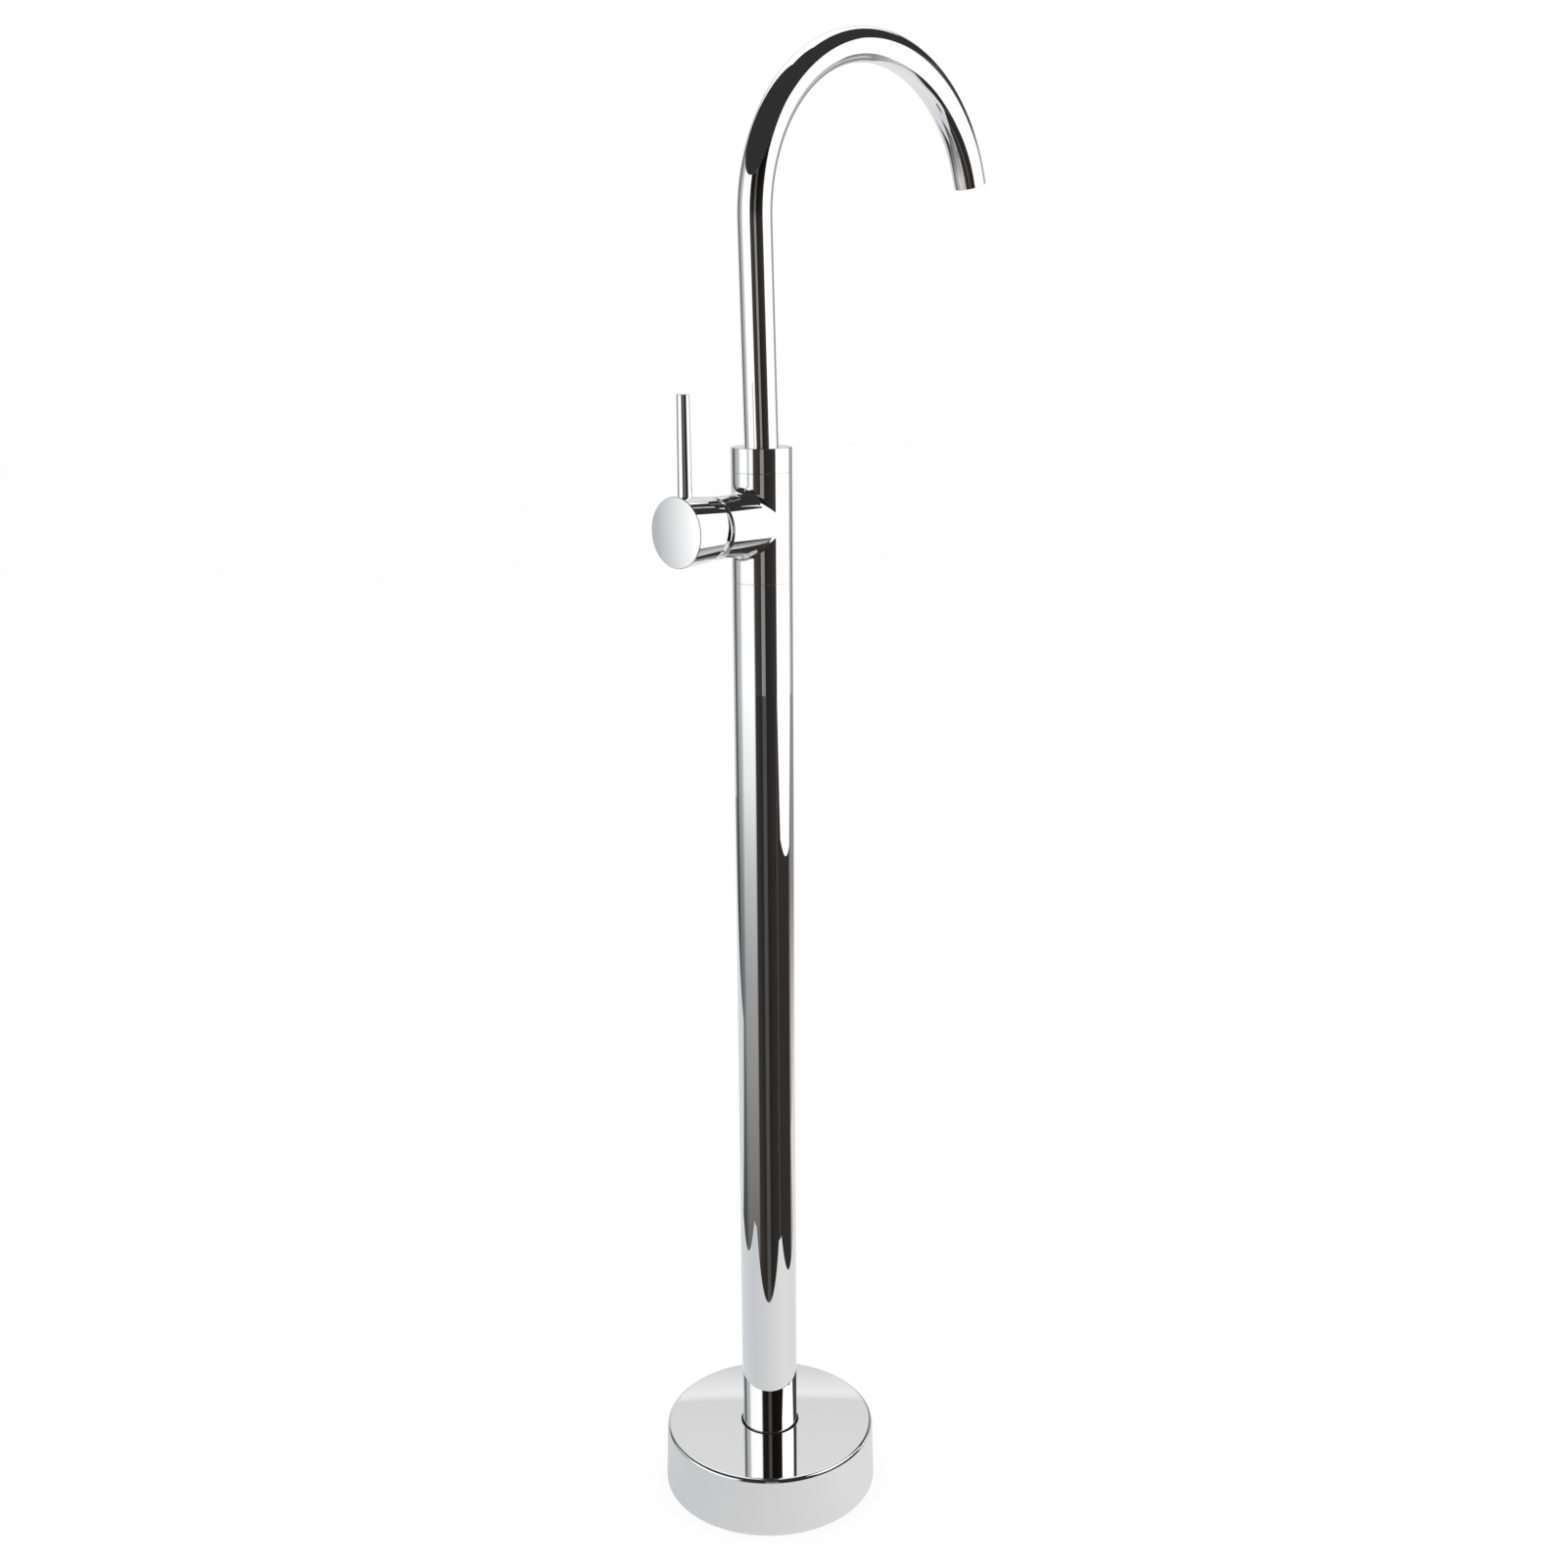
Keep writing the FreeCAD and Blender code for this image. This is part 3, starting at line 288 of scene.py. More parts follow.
def end_runs(radius, end, edge, inner, up):
    """The rounded edge of a pipe's end and its end face in to an inner radius."""
    centre = Vector((radius - edge, end - up * edge))
    return [
        *arc_runs(centre, edge, 0, up * math.pi / 2, 1, EDGE_STEPS),
        *flat_runs(radius - edge, inner, end, up),
    ]


def ball_reach(radius, across):
    """How far a ball's surface lies from its centre along the axis, at a distance off it."""
    return math.sqrt(radius**2 - across**2)


def ball_runs(radius, start_across, end_across, side):
    """Part of a ball about the local origin, from one distance off its axis to another."""
    first = math.acos(start_across / radius)
    last = math.acos(end_across / radius)
    return arc_runs(Vector((0, 0)), radius, first, last, side, DOME_STEPS)


def around(steps):
    """Equal angles round a full turn."""
    return [2 * math.pi * step / steps for step in range(steps)]


def turn_on(skin, runs, place, steps=ROUND_STEPS):
    """Turns the runs of an outline about the local Z axis and puts them in place."""
    turn = place.to_3x3()
    for run in runs:
        rings = []
        for point, normal in run:
            ring = []
            for angle in around(steps):
                spin = Vector((math.cos(angle), math.sin(angle), 0))
                where = spin * point.x + Vector((0, 0, point.y))
                facing = spin * normal.x + Vector((0, 0, normal.y))
                ring.append((place @ where, turn @ facing))
            rings.append(ring)
        skin.along(rings)


UPRIGHT = Matrix()


def on_boss(reach=0.0):
    """Local +Z points to the front along the boss, local +Y points up."""
    return Matrix.Translation((0, -reach, handle_height)) @ Matrix.Rotation(math.pi / 2, 4, "X")


def turned_piece(name, corners, place=UPRIGHT, steps=ROUND_STEPS):
    skin = Skin()
    turn_on(skin, rounded(corners), place, steps)
    return skin.make(name)


# ------------------------------------------------------------------ finishes

MARK_DEPTH = 0.01 * MM
BRAID_DEPTH = 0.2 * MM


class Shader:
    """A material's node tree, with short calls to add and join nodes."""

    def __init__(self, tree):
        self.nodes = tree.nodes
        self.links = tree.links

    def add(self, kind, **settings):
        node = self.nodes.new(kind)
        for name, value in settings.items():
            setattr(node, name, value)
        return node

    def join(self, output, socket):
        self.links.new(output, socket)


def new_group(name, inputs, outputs):
    """An empty shader node group with float inputs (name, value) and (name, kind) outputs."""
    group = bpy.data.node_groups.new(name, "ShaderNodeTree")
    for label, value in inputs:
        socket = group.interface.new_socket(label, in_out="INPUT", socket_type="NodeSocketFloat")
        socket.default_value = value
    for label, kind in outputs:
        group.interface.new_socket(label, in_out="OUTPUT", socket_type=kind)
    shader = Shader(group)
    return group, shader, shader.add("NodeGroupInput"), shader.add("NodeGroupOutput")


def make_polish_group():
    """Faint wiping marks and water haze on polished metal: a roughness and a bump height."""
    group, shader, given, out = new_group(
        "polish_marks",
        [("Clean Roughness", 0.02), ("Haze Roughness", 0.06), ("Mark Size", 18.0)],
        [("Roughness", "NodeSocketFloat"), ("Height", "NodeSocketFloat")],
    )
    place = shader.add("ShaderNodeTexCoord")
    haze = shader.add("ShaderNodeTexNoise")
    haze.inputs["Detail"].default_value = 4.0
    shader.join(place.outputs["Object"], haze.inputs["Vector"])
    shader.join(given.outputs["Mark Size"], haze.inputs["Scale"])
    amount = shader.add("ShaderNodeMapRange")
    amount.inputs["From Min"].default_value = 0.45
    amount.inputs["From Max"].default_value = 0.75
    shader.join(haze.outputs["Fac"], amount.inputs["Value"])
    shader.join(given.outputs["Clean Roughness"], amount.inputs["To Min"])
    shader.join(given.outputs["Haze Roughness"], amount.inputs["To Max"])
    grain = shader.add("ShaderNodeTexNoise")
    grain.inputs["Scale"].default_value = 900.0
    grain.inputs["Detail"].default_value = 2.0
    shader.join(place.outputs["Object"], grain.inputs["Vector"])
    shader.join(amount.outputs["Result"], out.inputs["Roughness"])
    shader.join(grain.outputs["Fac"], out.inputs["Height"])
    return group


def make_tooling_group():
    """Fine lathe lines along the piece's height, for turned and moulded pieces."""
    group, shader, given, out = new_group(
        "tool_lines",
        [("Line Size", 900.0), ("Low Roughness", 0.2), ("High Roughness", 0.4)],
        [("Roughness", "NodeSocketFloat"), ("Height", "NodeSocketFloat")],
    )
    place = shader.add("ShaderNodeTexCoord")
    lines = shader.add("ShaderNodeTexWave", bands_direction="Z")
    lines.inputs["Distortion"].default_value = 1.5
    lines.inputs["Detail"].default_value = 3.0
    shader.join(place.outputs["Object"], lines.inputs["Vector"])
    shader.join(given.outputs["Line Size"], lines.inputs["Scale"])
    spread = shader.add("ShaderNodeMapRange")
    shader.join(lines.outputs["Fac"], spread.inputs["Value"])
    shader.join(given.outputs["Low Roughness"], spread.inputs["To Min"])
    shader.join(given.outputs["High Roughness"], spread.inputs["To Max"])
    shader.join(spread.outputs["Result"], out.inputs["Roughness"])
    shader.join(lines.outputs["Fac"], out.inputs["Height"])
    return group


def finish(name, color, metallic, group, values, bump):
    """A Principled material whose roughness and bump come from a shared group."""
    material = bpy.data.materials.new(name)
    material.use_nodes = True
    shader = Shader(material.node_tree)
    surface = shader.nodes["Principled BSDF"]
    surface.inputs["Base Color"].default_value = (*color, 1)
    surface.inputs["Metallic"].default_value = metallic
    marks = shader.add("ShaderNodeGroup", node_tree=group)
    for label, value in values.items():
        marks.inputs[label].default_value = value
    shader.join(marks.outputs["Roughness"], surface.inputs["Roughness"])
    relief = shader.add("ShaderNodeBump")
    relief.inputs["Strength"].default_value = bump
    relief.inputs["Distance"].default_value = MARK_DEPTH
    shader.join(marks.outputs["Height"], relief.inputs["Height"])
    shader.join(relief.outputs["Normal"], surface.inputs["Normal"])
    return material


def make_hose_braid():
    """Woven steel wire over rubber: two crossed waves that wind round the hose."""
    material = bpy.data.materials.new("braided_hose")
    material.use_nodes = True
    shader = Shader(material.node_tree)
    surface = shader.nodes["Principled BSDF"]
    surface.inputs["Metallic"].default_value = 0.9
    surface.inputs["Roughness"].default_value = 0.35
    place = shader.add("ShaderNodeTexCoord")
    waves = []
    for lean in (35, -35):
        turn = shader.add("ShaderNodeMapping")
        turn.inputs["Rotation"].default_value = (math.radians(lean), 0, 0)
        shader.join(place.outputs["Object"], turn.inputs["Vector"])
        wave = shader.add("ShaderNodeTexWave", bands_direction="Z")
        wave.inputs["Scale"].default_value = 160.0
        shader.join(turn.outputs["Vector"], wave.inputs["Vector"])
        waves.append(wave)
    weave = shader.add("ShaderNodeMath", operation="MAXIMUM")
    for wave, socket in zip(waves, weave.inputs):
        shader.join(wave.outputs["Fac"], socket)
    tone = shader.add("ShaderNodeValToRGB")
    tone.color_ramp.elements[0].color = (0.08, 0.08, 0.08, 1)
    tone.color_ramp.elements[1].color = (0.6, 0.6, 0.61, 1)
    shader.join(weave.outputs["Value"], tone.inputs["Fac"])
    shader.join(tone.outputs["Color"], surface.inputs["Base Color"])
    relief = shader.add("ShaderNodeBump")
    relief.inputs["Distance"].default_value = BRAID_DEPTH
    shader.join(weave.outputs["Value"], relief.inputs["Height"])
    shader.join(relief.outputs["Normal"], surface.inputs["Normal"])
    return material


polish_marks = make_polish_group()
tool_lines = make_tooling_group()

# One finish for each material slot of the record.
FINISHES = {
    "polished_chrome": finish(
        "polished_chrome",
        color=(0.972, 0.972, 0.975),
        metallic=1.0,
        group=polish_marks,
        values={"Clean Roughness": 0.006, "Haze Roughness": 0.02},
        bump=0.02,
    ),
    "machined_brass": finish(
        "machined_brass",
        color=(0.80, 0.60, 0.30),
        metallic=1.0,
        group=tool_lines,
        values={"Low Roughness": 0.18, "High Roughness": 0.34},
        bump=0.2,
    ),
    "stainless_steel": finish(
        "stainless_steel",
        color=(0.62, 0.62, 0.63),
        metallic=1.0,
        group=tool_lines,
        values={"Low Roughness": 0.2, "High Roughness": 0.38},
        bump=0.2,
    ),
    "black_rubber": finish(
        "black_rubber",
        color=(0.02, 0.02, 0.021),
        metallic=0.0,
        group=tool_lines,
        values={"Line Size": 300.0, "Low Roughness": 0.55, "High Roughness": 0.7},
        bump=0.3,
    ),
    "white_plastic": finish(
        "white_plastic",
        color=(0.82, 0.82, 0.80),
        metallic=0.0,
        group=polish_marks,
        values={"Clean Roughness": 0.3, "Haze Roughness": 0.42, "Mark Size": 200.0},
        bump=0.2,
    ),
    "ceramic": finish(
        "ceramic",
        color=(0.86, 0.85, 0.82),
        metallic=0.0,
        group=polish_marks,
        values={"Clean Roughness": 0.12, "Haze Roughness": 0.2, "Mark Size": 120.0},
        bump=0.1,
    ),
    "braided_hose": make_hose_braid(),
}


def dress_nodes():
    """Gives every carried-over solid the finish of its own slot."""
    for entry in frame["record"]["subparts"]:
        node = nodes[entry["node"]]
        node.data.materials.clear()
        node.data.materials.append(FINISHES[entry["material_slot"]])


def settle(piece, body, slot, *replaced):
    """Rides a new piece on its body, in place of the solids that it stands for."""
    piece.data.materials.append(FINISHES[slot])
    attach(piece, body)
    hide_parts(*replaced)


# ------------------------------------------------------------------ foot and column


def make_base_cover():
    hole = column_radius + COVER_GAP
    cover = turned_piece(
        "cover_shell",
        [
            (cover_foot_radius - COVER_WALL, 0),
            (cover_foot_radius, 0, COVER_FOOT_EDGE),
            (cover_top_radius, cover_height, COVER_ROUND),
            (hole, cover_height, COVER_LIP),
            (hole, cover_height - COVER_WALL),
            (cover_top_radius - COVER_WALL, cover_height - COVER_WALL),
        ],
    )
    settle(cover, "stand", "polished_chrome", "base_cover")


def make_column():
    bore = column_radius - COLUMN_WALL
    column = turned_piece(
        "column_pipe",
        [
            (bore, column_low.z),
            (column_radius, column_low.z, JOINT_EDGE),
            (column_radius, joint_height, JOINT_EDGE),
            (bore, joint_height),
        ],
    )
    settle(column, "stand", "polished_chrome", "column_tube")


# ------------------------------------------------------------------ mixer body


def pipe_corner(angle, height):
    """A corner on the upright pipe; the angle runs from the boss's side towards +X."""
    outward = Vector((math.sin(angle), -math.cos(angle), 0))
    return (outward * column_radius + Vector((0, 0, height)), outward)


def blend_corners(opening):
    """The blend at one place round the boss: an arc of a ball held in the corner.

    The opening is the angle round the boss, 0 towards +X and a quarter turn at the top. The
    result is the angle on the pipe where the arc starts, and its corners from there on.
    """
    outward = Vector((math.cos(opening), 0, math.sin(opening)))
    lift = (1 + math.sin(opening)) / 2
    blend = TEE_BLEND_FOOT + (TEE_BLEND_TOP - TEE_BLEND_FOOT) * lift
    middle = outward * (boss_radius + blend)
    angle = math.asin(middle.x / (column_radius + blend))
    middle.y = -(column_radius + blend) * math.cos(angle)
    middle.z += handle_height
    on_pipe = Vector((math.sin(angle), -math.cos(angle), 0))
    corners = []
    for step in range(BLEND_STEPS + 1):
        normal = on_pipe.slerp(outward, step / BLEND_STEPS)
        corners.append((middle - normal * blend, normal))
    return angle, corners


def add_tee_front(skin, bottom, top, front):
    """The blend all round the boss, the pipe above and below it, and the boss before it."""
    for step in range(ROUND_STEPS):
        (angle_one, one), (angle_two, two) = (
            blend_corners(2 * math.pi * turn / ROUND_STEPS) for turn in (step, step + 1)
        )
        for corners in zip(one, one[1:], two[1:], two):
            skin.face(corners)
        limit = top if step < ROUND_STEPS // 2 else bottom
        skin.face([one[0], two[0], pipe_corner(angle_two, limit), pipe_corner(angle_one, limit)])
        rim_one, rim_two = (
            (Vector((point.x, -front, point.z)), normal) for point, normal in (one[-1], two[-1])
        )
        skin.face([one[-1], rim_one, rim_two, two[-1]])


def add_tee_back(skin, bottom, top):
    """The rest of the pipe, behind the boss, in a lower and an upper half."""
    widest, _ = blend_corners(0)
    span = 2 * math.pi - 2 * widest
    steps = ROUND_STEPS // 2
    for step in range(steps):
        first, last = (widest + span * turn / steps for turn in (step, step + 1))
        for low, high in ((bottom, handle_height), (handle_height, top)):
            corners = ((first, low), (last, low), (last, high), (first, high))
            skin.face([pipe_corner(angle, height) for angle, height in corners])


def make_mixer_body():
    """The tee: a pipe and a boss of nearly its own size, with a soft blend in their corner."""
    skin = Skin()
    bottom = joint_height + JOINT_EDGE
    top = body_top - JOINT_EDGE
    neck = column_radius - NECK_WALL
    add_tee_front(skin, bottom, top, boss_reach - BOSS_EDGE)
    add_tee_back(skin, bottom, top)
    for end, up in ((joint_height, -1), (body_top, 1)):
        turn_on(skin, end_runs(column_radius, end, JOINT_EDGE, neck, up), UPRIGHT)
    boss_end = [
        *end_runs(boss_radius, boss_reach, BOSS_EDGE, CARTRIDGE_BORE, 1),
        *wall_runs(CARTRIDGE_BORE, boss_reach, boss_reach - CARTRIDGE_DEPTH, -1),
    ]
    turn_on(skin, boss_end, on_boss())
    settle(skin.make("tee_body"), "stand", "polished_chrome", "mixer_body")


def make_collar():
    lip = spout_radius + COLLAR_GAP
    neck = column_radius - NECK_WALL
    collar = turned_piece(
        "collar_ring",
        [
            (neck, body_top),
            (column_radius, body_top, JOINT_EDGE),
            (column_radius, collar_top, COLLAR_EDGE),
            (lip, collar_top, JOINT_EDGE),
            (lip, collar_top - COLLAR_DEPTH),
            (neck, collar_top - COLLAR_DEPTH),
        ],
    )
    settle(collar, "stand", "polished_chrome", "spout_collar")


def make_dome_cap():
    """The domed cap on the boss, seen in the gap behind the knob: a brim and part of a ball.

    Its lengths along the boss are measured from the tilt axis, the middle of the ball.
    """
    face = boss_reach - CAP_PIVOT
    brow = face + CAP_BRIM_HEIGHT
    shoulder = ball_reach(CAP_BALL_RADIUS, brow)
    inner_ball = CAP_BALL_RADIUS - CAP_WALL
    mouth_outside = ball_reach(CAP_BALL_RADIUS, CAP_MOUTH_RADIUS)
    mouth_inside = ball_reach(inner_ball, CAP_MOUTH_RADIUS)
    runs = [
        *wall_runs(CAP_BRIM_RADIUS, face, brow - CAP_EDGE, 1),
        *end_runs(CAP_BRIM_RADIUS, brow, CAP_EDGE, shoulder, 1),
        *ball_runs(CAP_BALL_RADIUS, shoulder, CAP_MOUTH_RADIUS, 1),
        *wall_runs(CAP_MOUTH_RADIUS, mouth_outside, mouth_inside, -1),
        *ball_runs(inner_ball, CAP_MOUTH_RADIUS, shoulder - CAP_WALL, -1),
    ]
    skin = Skin()
    turn_on(skin, runs, on_boss(CAP_PIVOT))
    settle(skin.make("cap_dome"), "stand", "polished_chrome", "dome_cap")


# ------------------------------------------------------------------ spout


def add_bend(line, radius, angle, towards, steps):
    """Adds an arc to a line; towards is 1 when it turns to +Y and -1 when it turns to -Y."""
    start, way = line[-1]
    centre = start + Vector((0, way.z * towards, -way.y * towards)) * radius
    for step in range(1, steps + 1):
        turn = Matrix.Rotation(-towards * angle * step / steps, 3, "X")
        line.append((centre + turn @ (start - centre), turn @ way))


def spout_line():
    """The tube's middle line in the plane X = 0, as (centre, way) from collar to outlet."""
    up = Vector((0, 0, 1))
    line = [(Vector((0, 0, spout_low.z)), up), (Vector((0, 0, collar_top + LEAN_START)), up)]
    add_bend(line, LEAN_RADIUS, RISER_LEAN, -1, LEAN_STEPS)
    point, way = line[-1]
    spring = collar_top + RISER_HEIGHT
    line.append((point + way * ((spring - point.z) / way.z), way))
    add_bend(line, BEND_RADIUS, BEND_ANGLE, 1, BEND_STEPS)
    point, way = line[-1]
    line.append((point + way * OUTLET_LENGTH, way))
    return line


def tube_ring(centre, way, radius, normal_out, normal_along):
    """A ring round the line, with its normals leaning out and along the line."""
    cross = Vector((1, 0, 0))
    other = way.cross(cross)
    ring = []
    for angle in around(TUBE_STEPS):
        spoke = cross * math.cos(angle) + other * math.sin(angle)
        ring.append((centre + spoke * radius, spoke * normal_out + way * normal_along))
    return ring


def make_spout():
    """The bent tube: outside, rounded mouth and bore as one skin along its line."""
    skin = Skin()
    line = spout_line()
    outlet, way = line[-1]
    bore = spout_radius - SPOUT_WALL
    straight = line[:-1] + [(outlet - way * OUTLET_EDGE, way)]
    for radius, side in ((spout_radius, 1), (bore, -1)):
        skin.along([tube_ring(centre, here, radius, side, 0) for centre, here in straight])
    lips = ((spout_radius - OUTLET_EDGE, 1), (bore + OUTLET_EDGE, -1))
    for lip, side in lips:
        rings = []
        for step in range(EDGE_STEPS + 1):
            angle = math.pi / 2 * step / EDGE_STEPS
            across = side * math.cos(angle)
            centre = outlet - way * OUTLET_EDGE * (1 - math.sin(angle))
            radius = lip + across * OUTLET_EDGE
            rings.append(tube_ring(centre, way, radius, across, math.sin(angle)))
        skin.along(rings)
    skin.along([tube_ring(outlet, way, lip, 0, 1) for lip, _ in lips])
    skin.along([tube_ring(*line[0], radius, 0, -1) for radius in (spout_radius, bore)])
    settle(skin.make("gooseneck"), "spout", "polished_chrome", "spout_tube")


# ------------------------------------------------------------------ knob and lever

knob_shoulder = knob_reach - KNOB_DOME - KNOB_EDGE
knob_bore = KNOB_BACK_RADIUS - KNOB_WALL
knob_web = knob_reach - KNOB_WEB
knob_flare = (knob_face_radius - KNOB_BACK_RADIUS) / (knob_shoulder - boss_reach)
knob_slant = (KNOB_GAP_FOOT - KNOB_GAP_TOP) / (2 * KNOB_BACK_RADIUS)
cone_normal = Vector((1, -knob_flare)).normalized()


def knob_back(rise, radius, flare):
    """Reach of the slanted back rim, where rise is 1 at the top of the knob and -1 below."""
    middle = boss_reach + (KNOB_GAP_TOP + KNOB_GAP_FOOT) / 2
    start = radius - flare * boss_reach
    return (middle - knob_slant * start * rise) / (1 + knob_slant * flare * rise)


def add_knob_walls(skin, place):
    """The slanted back rim, its softened edge, the outer cone and the wall of the hollow."""
    turn = place.to_3x3()
    rim = Vector((0, -knob_slant, -1)).normalized()
    spokes = []
    for angle in around(ROUND_STEPS):
        spin = Vector((math.cos(angle), math.sin(angle), 0))
        cone = spin * cone_normal.x + Vector((0, 0, cone_normal.y))
        soft = (rim + cone).normalized()
        outer_back = knob_back(spin.y, KNOB_BACK_RADIUS, knob_flare)
        outer_radius = KNOB_BACK_RADIUS + knob_flare * (outer_back - boss_reach)
        outer_edge = (outer_radius, outer_back + KNOB_RIM_EDGE)
        near_back = knob_back(spin.y, KNOB_BACK_RADIUS - KNOB_RIM_EDGE, knob_flare)
        near_edge = (outer_radius - KNOB_RIM_EDGE, near_back)
        inner_edge = (knob_bore, knob_back(spin.y, knob_bore, 0))
        outline = (
            (inner_edge, rim),
            (near_edge, rim),
            (near_edge, soft),
            (outer_edge, soft),
            (outer_edge, cone),
            ((knob_face_radius, knob_shoulder), cone),
            (inner_edge, -spin),
            ((knob_bore, knob_web), -spin),
        )
        spokes.append(
            [
                (place @ (spin * radius + Vector((0, 0, reach))), turn @ normal)
                for (radius, reach), normal in outline
            ]
        )
    rings = list(zip(*spokes))
    for first in range(0, len(rings), 2):
        skin.between(rings[first], rings[first + 1])


def add_knob_face(skin, place):
    """The thin rounded edge and the slightly domed face."""
    flat = knob_face_radius - KNOB_EDGE
    dome = (flat**2 + KNOB_DOME**2) / (2 * KNOB_DOME)
    dome_centre = knob_reach - dome
    edge_first = math.atan2(cone_normal.y, cone_normal.x)
    edge_last = math.pi / 2 - math.asin(flat / dome)
    edge_centre = Vector((flat, knob_shoulder))
    edge = arc_runs(edge_centre, KNOB_EDGE, edge_first, edge_last, 1, KNOB_EDGE_STEPS)
    turn_on(skin, edge, place)
    face_radius = edge[-1][1][0].x
    face = []
    for step in range(KNOB_FACE_STEPS + 1):
        across = face_radius * (1 - step / KNOB_FACE_STEPS)
        along = ball_reach(dome, across)
        normal = Vector((across, along)).normalized()
        face.append((Vector((across, dome_centre + along)), normal))
    turn_on(skin, zip(face, face[1:]), place)


def make_knob():
    """The tapered knob: domed face, thin rounded edge, cone, slanted back rim and hollow."""
    skin = Skin()
    place = on_boss()
    add_knob_walls(skin, place)
    add_knob_face(skin, place)
    turn_on(skin, flat_runs(knob_bore, KNOB_STEM_HOLE, knob_web, -1), place)
    settle(skin.make("knob"), "lever", "polished_chrome", "handle_knob")


def make_lever():
    """The slim upright lever, wider at its top, with a small round there."""
    foot = lever_low.z + LEVER_SUNK
    lever = turned_piece(
        "lever_rod",
        [
            (0, foot),
            (lever_foot_radius, foot),
            (LEVER_TIP_RADIUS, lever_top, LEVER_TIP_EDGE),
            (0, lever_top),
        ],
        Matrix.Translation((0, -lever_reach, 0)),
        LEVER_STEPS,
    )
    settle(lever, "lever", "polished_chrome", "lever_pin")


# ------------------------------------------------------------------ studio

VIEW_AZIMUTH = math.radians(-45.57)
CAMERA_DISTANCE = 1.3460
CAMERA_HEIGHT = 0.9536
CAMERA_PITCH = math.radians(14.72)
CAMERA_YAW = math.radians(-0.64)
CAMERA_ROLL = math.radians(-0.35)
LENS = 41.86
SENSOR = 36.0

WORLD_LIGHT = 0.95
FLOOR_REACH = 12.0
FLOOR_TONE = 0.95
FLOOR_WHITE = 0.88
FLOOR_IN_METAL = 0.25

# Lamps: place as the camera sees it, width and height, and power in watts.
LAMPS = {
    "soft_left": ((-2.2, -0.9, 1.6), (1.6, 2.0), 12),
    "soft_right": ((2.2, -0.6, 1.8), (1.6, 2.0), 12),
    "soft_top": ((0.0, 0.3, 3.0), (2.0, 2.0), 10),
}
LAMP_AIM = Vector((0, 0, 0.6))

# Turns a plan that is laid out as the camera sees it, with its own -Y towards the camera.
STUDIO_TURN = Matrix.Rotation(VIEW_AZIMUTH + math.pi / 2, 4, "Z")


def make_camera():
    data = bpy.data.cameras.new("camera")
    data.lens = LENS
    data.sensor_width = SENSOR
    data.sensor_height = SENSOR
    data.sensor_fit = "HORIZONTAL"
    camera = bpy.data.objects.new("camera", data)
    bpy.context.scene.collection.objects.link(camera)
    look = (
        Matrix.Rotation(CAMERA_YAW, 4, "Z")
        @ Matrix.Rotation(math.pi / 2 - CAMERA_PITCH, 4, "X")
        @ Matrix.Rotation(CAMERA_ROLL, 4, "Z")
    )
    stand = Matrix.Translation((0, -CAMERA_DISTANCE, CAMERA_HEIGHT))
    camera.matrix_world = STUDIO_TURN @ stand @ look
    bpy.context.scene.camera = camera


def seen_rays(shader, glossy=1.0):
    """1 for camera and transmission rays and a chosen share for glossy rays."""
    path = shader.add("ShaderNodeLightPath")
    share = shader.add("ShaderNodeMath", operation="MULTIPLY")
    share.inputs[1].default_value = glossy
    shader.join(path.outputs["Is Glossy Ray"], share.inputs[0])
    seen = share.outputs["Value"]
    for name in ("Is Camera Ray", "Is Transmission Ray"):
        most = shader.add("ShaderNodeMath", operation="MAXIMUM")
        shader.join(seen, most.inputs[0])
        shader.join(path.outputs[name], most.inputs[1])
        seen = most.outputs["Value"]
    return seen


def make_surroundings():
    """White for the camera and in the metal, a slightly lower level for the light itself."""
    world = bpy.data.worlds.new("studio")
    bpy.context.scene.world = world
    world.use_nodes = True
    shader = Shader(world.node_tree)
    plain = shader.nodes["Background"]
    white = shader.add("ShaderNodeBackground")
    for background, strength in ((plain, WORLD_LIGHT), (white, 1.0)):
        background.inputs["Color"].default_value = (1, 1, 1, 1)
        background.inputs["Strength"].default_value = strength
    mix = shader.add("ShaderNodeMixShader")
    shader.join(seen_rays(shader), mix.inputs["Fac"])
    shader.join(plain.outputs["Background"], mix.inputs[1])
    shader.join(white.outputs["Background"], mix.inputs[2])
    shader.join(mix.outputs["Shader"], shader.nodes["World Output"].inputs["Surface"])


def stage_object(name, points, faces, material):
    mesh = bpy.data.meshes.new(name)
    mesh.from_pydata(points, [], faces)
    mesh.materials.append(material)
    piece = bpy.data.objects.new(name, mesh)
    piece.matrix_world = STUDIO_TURN
    bpy.context.scene.collection.objects.link(piece)
    return piece


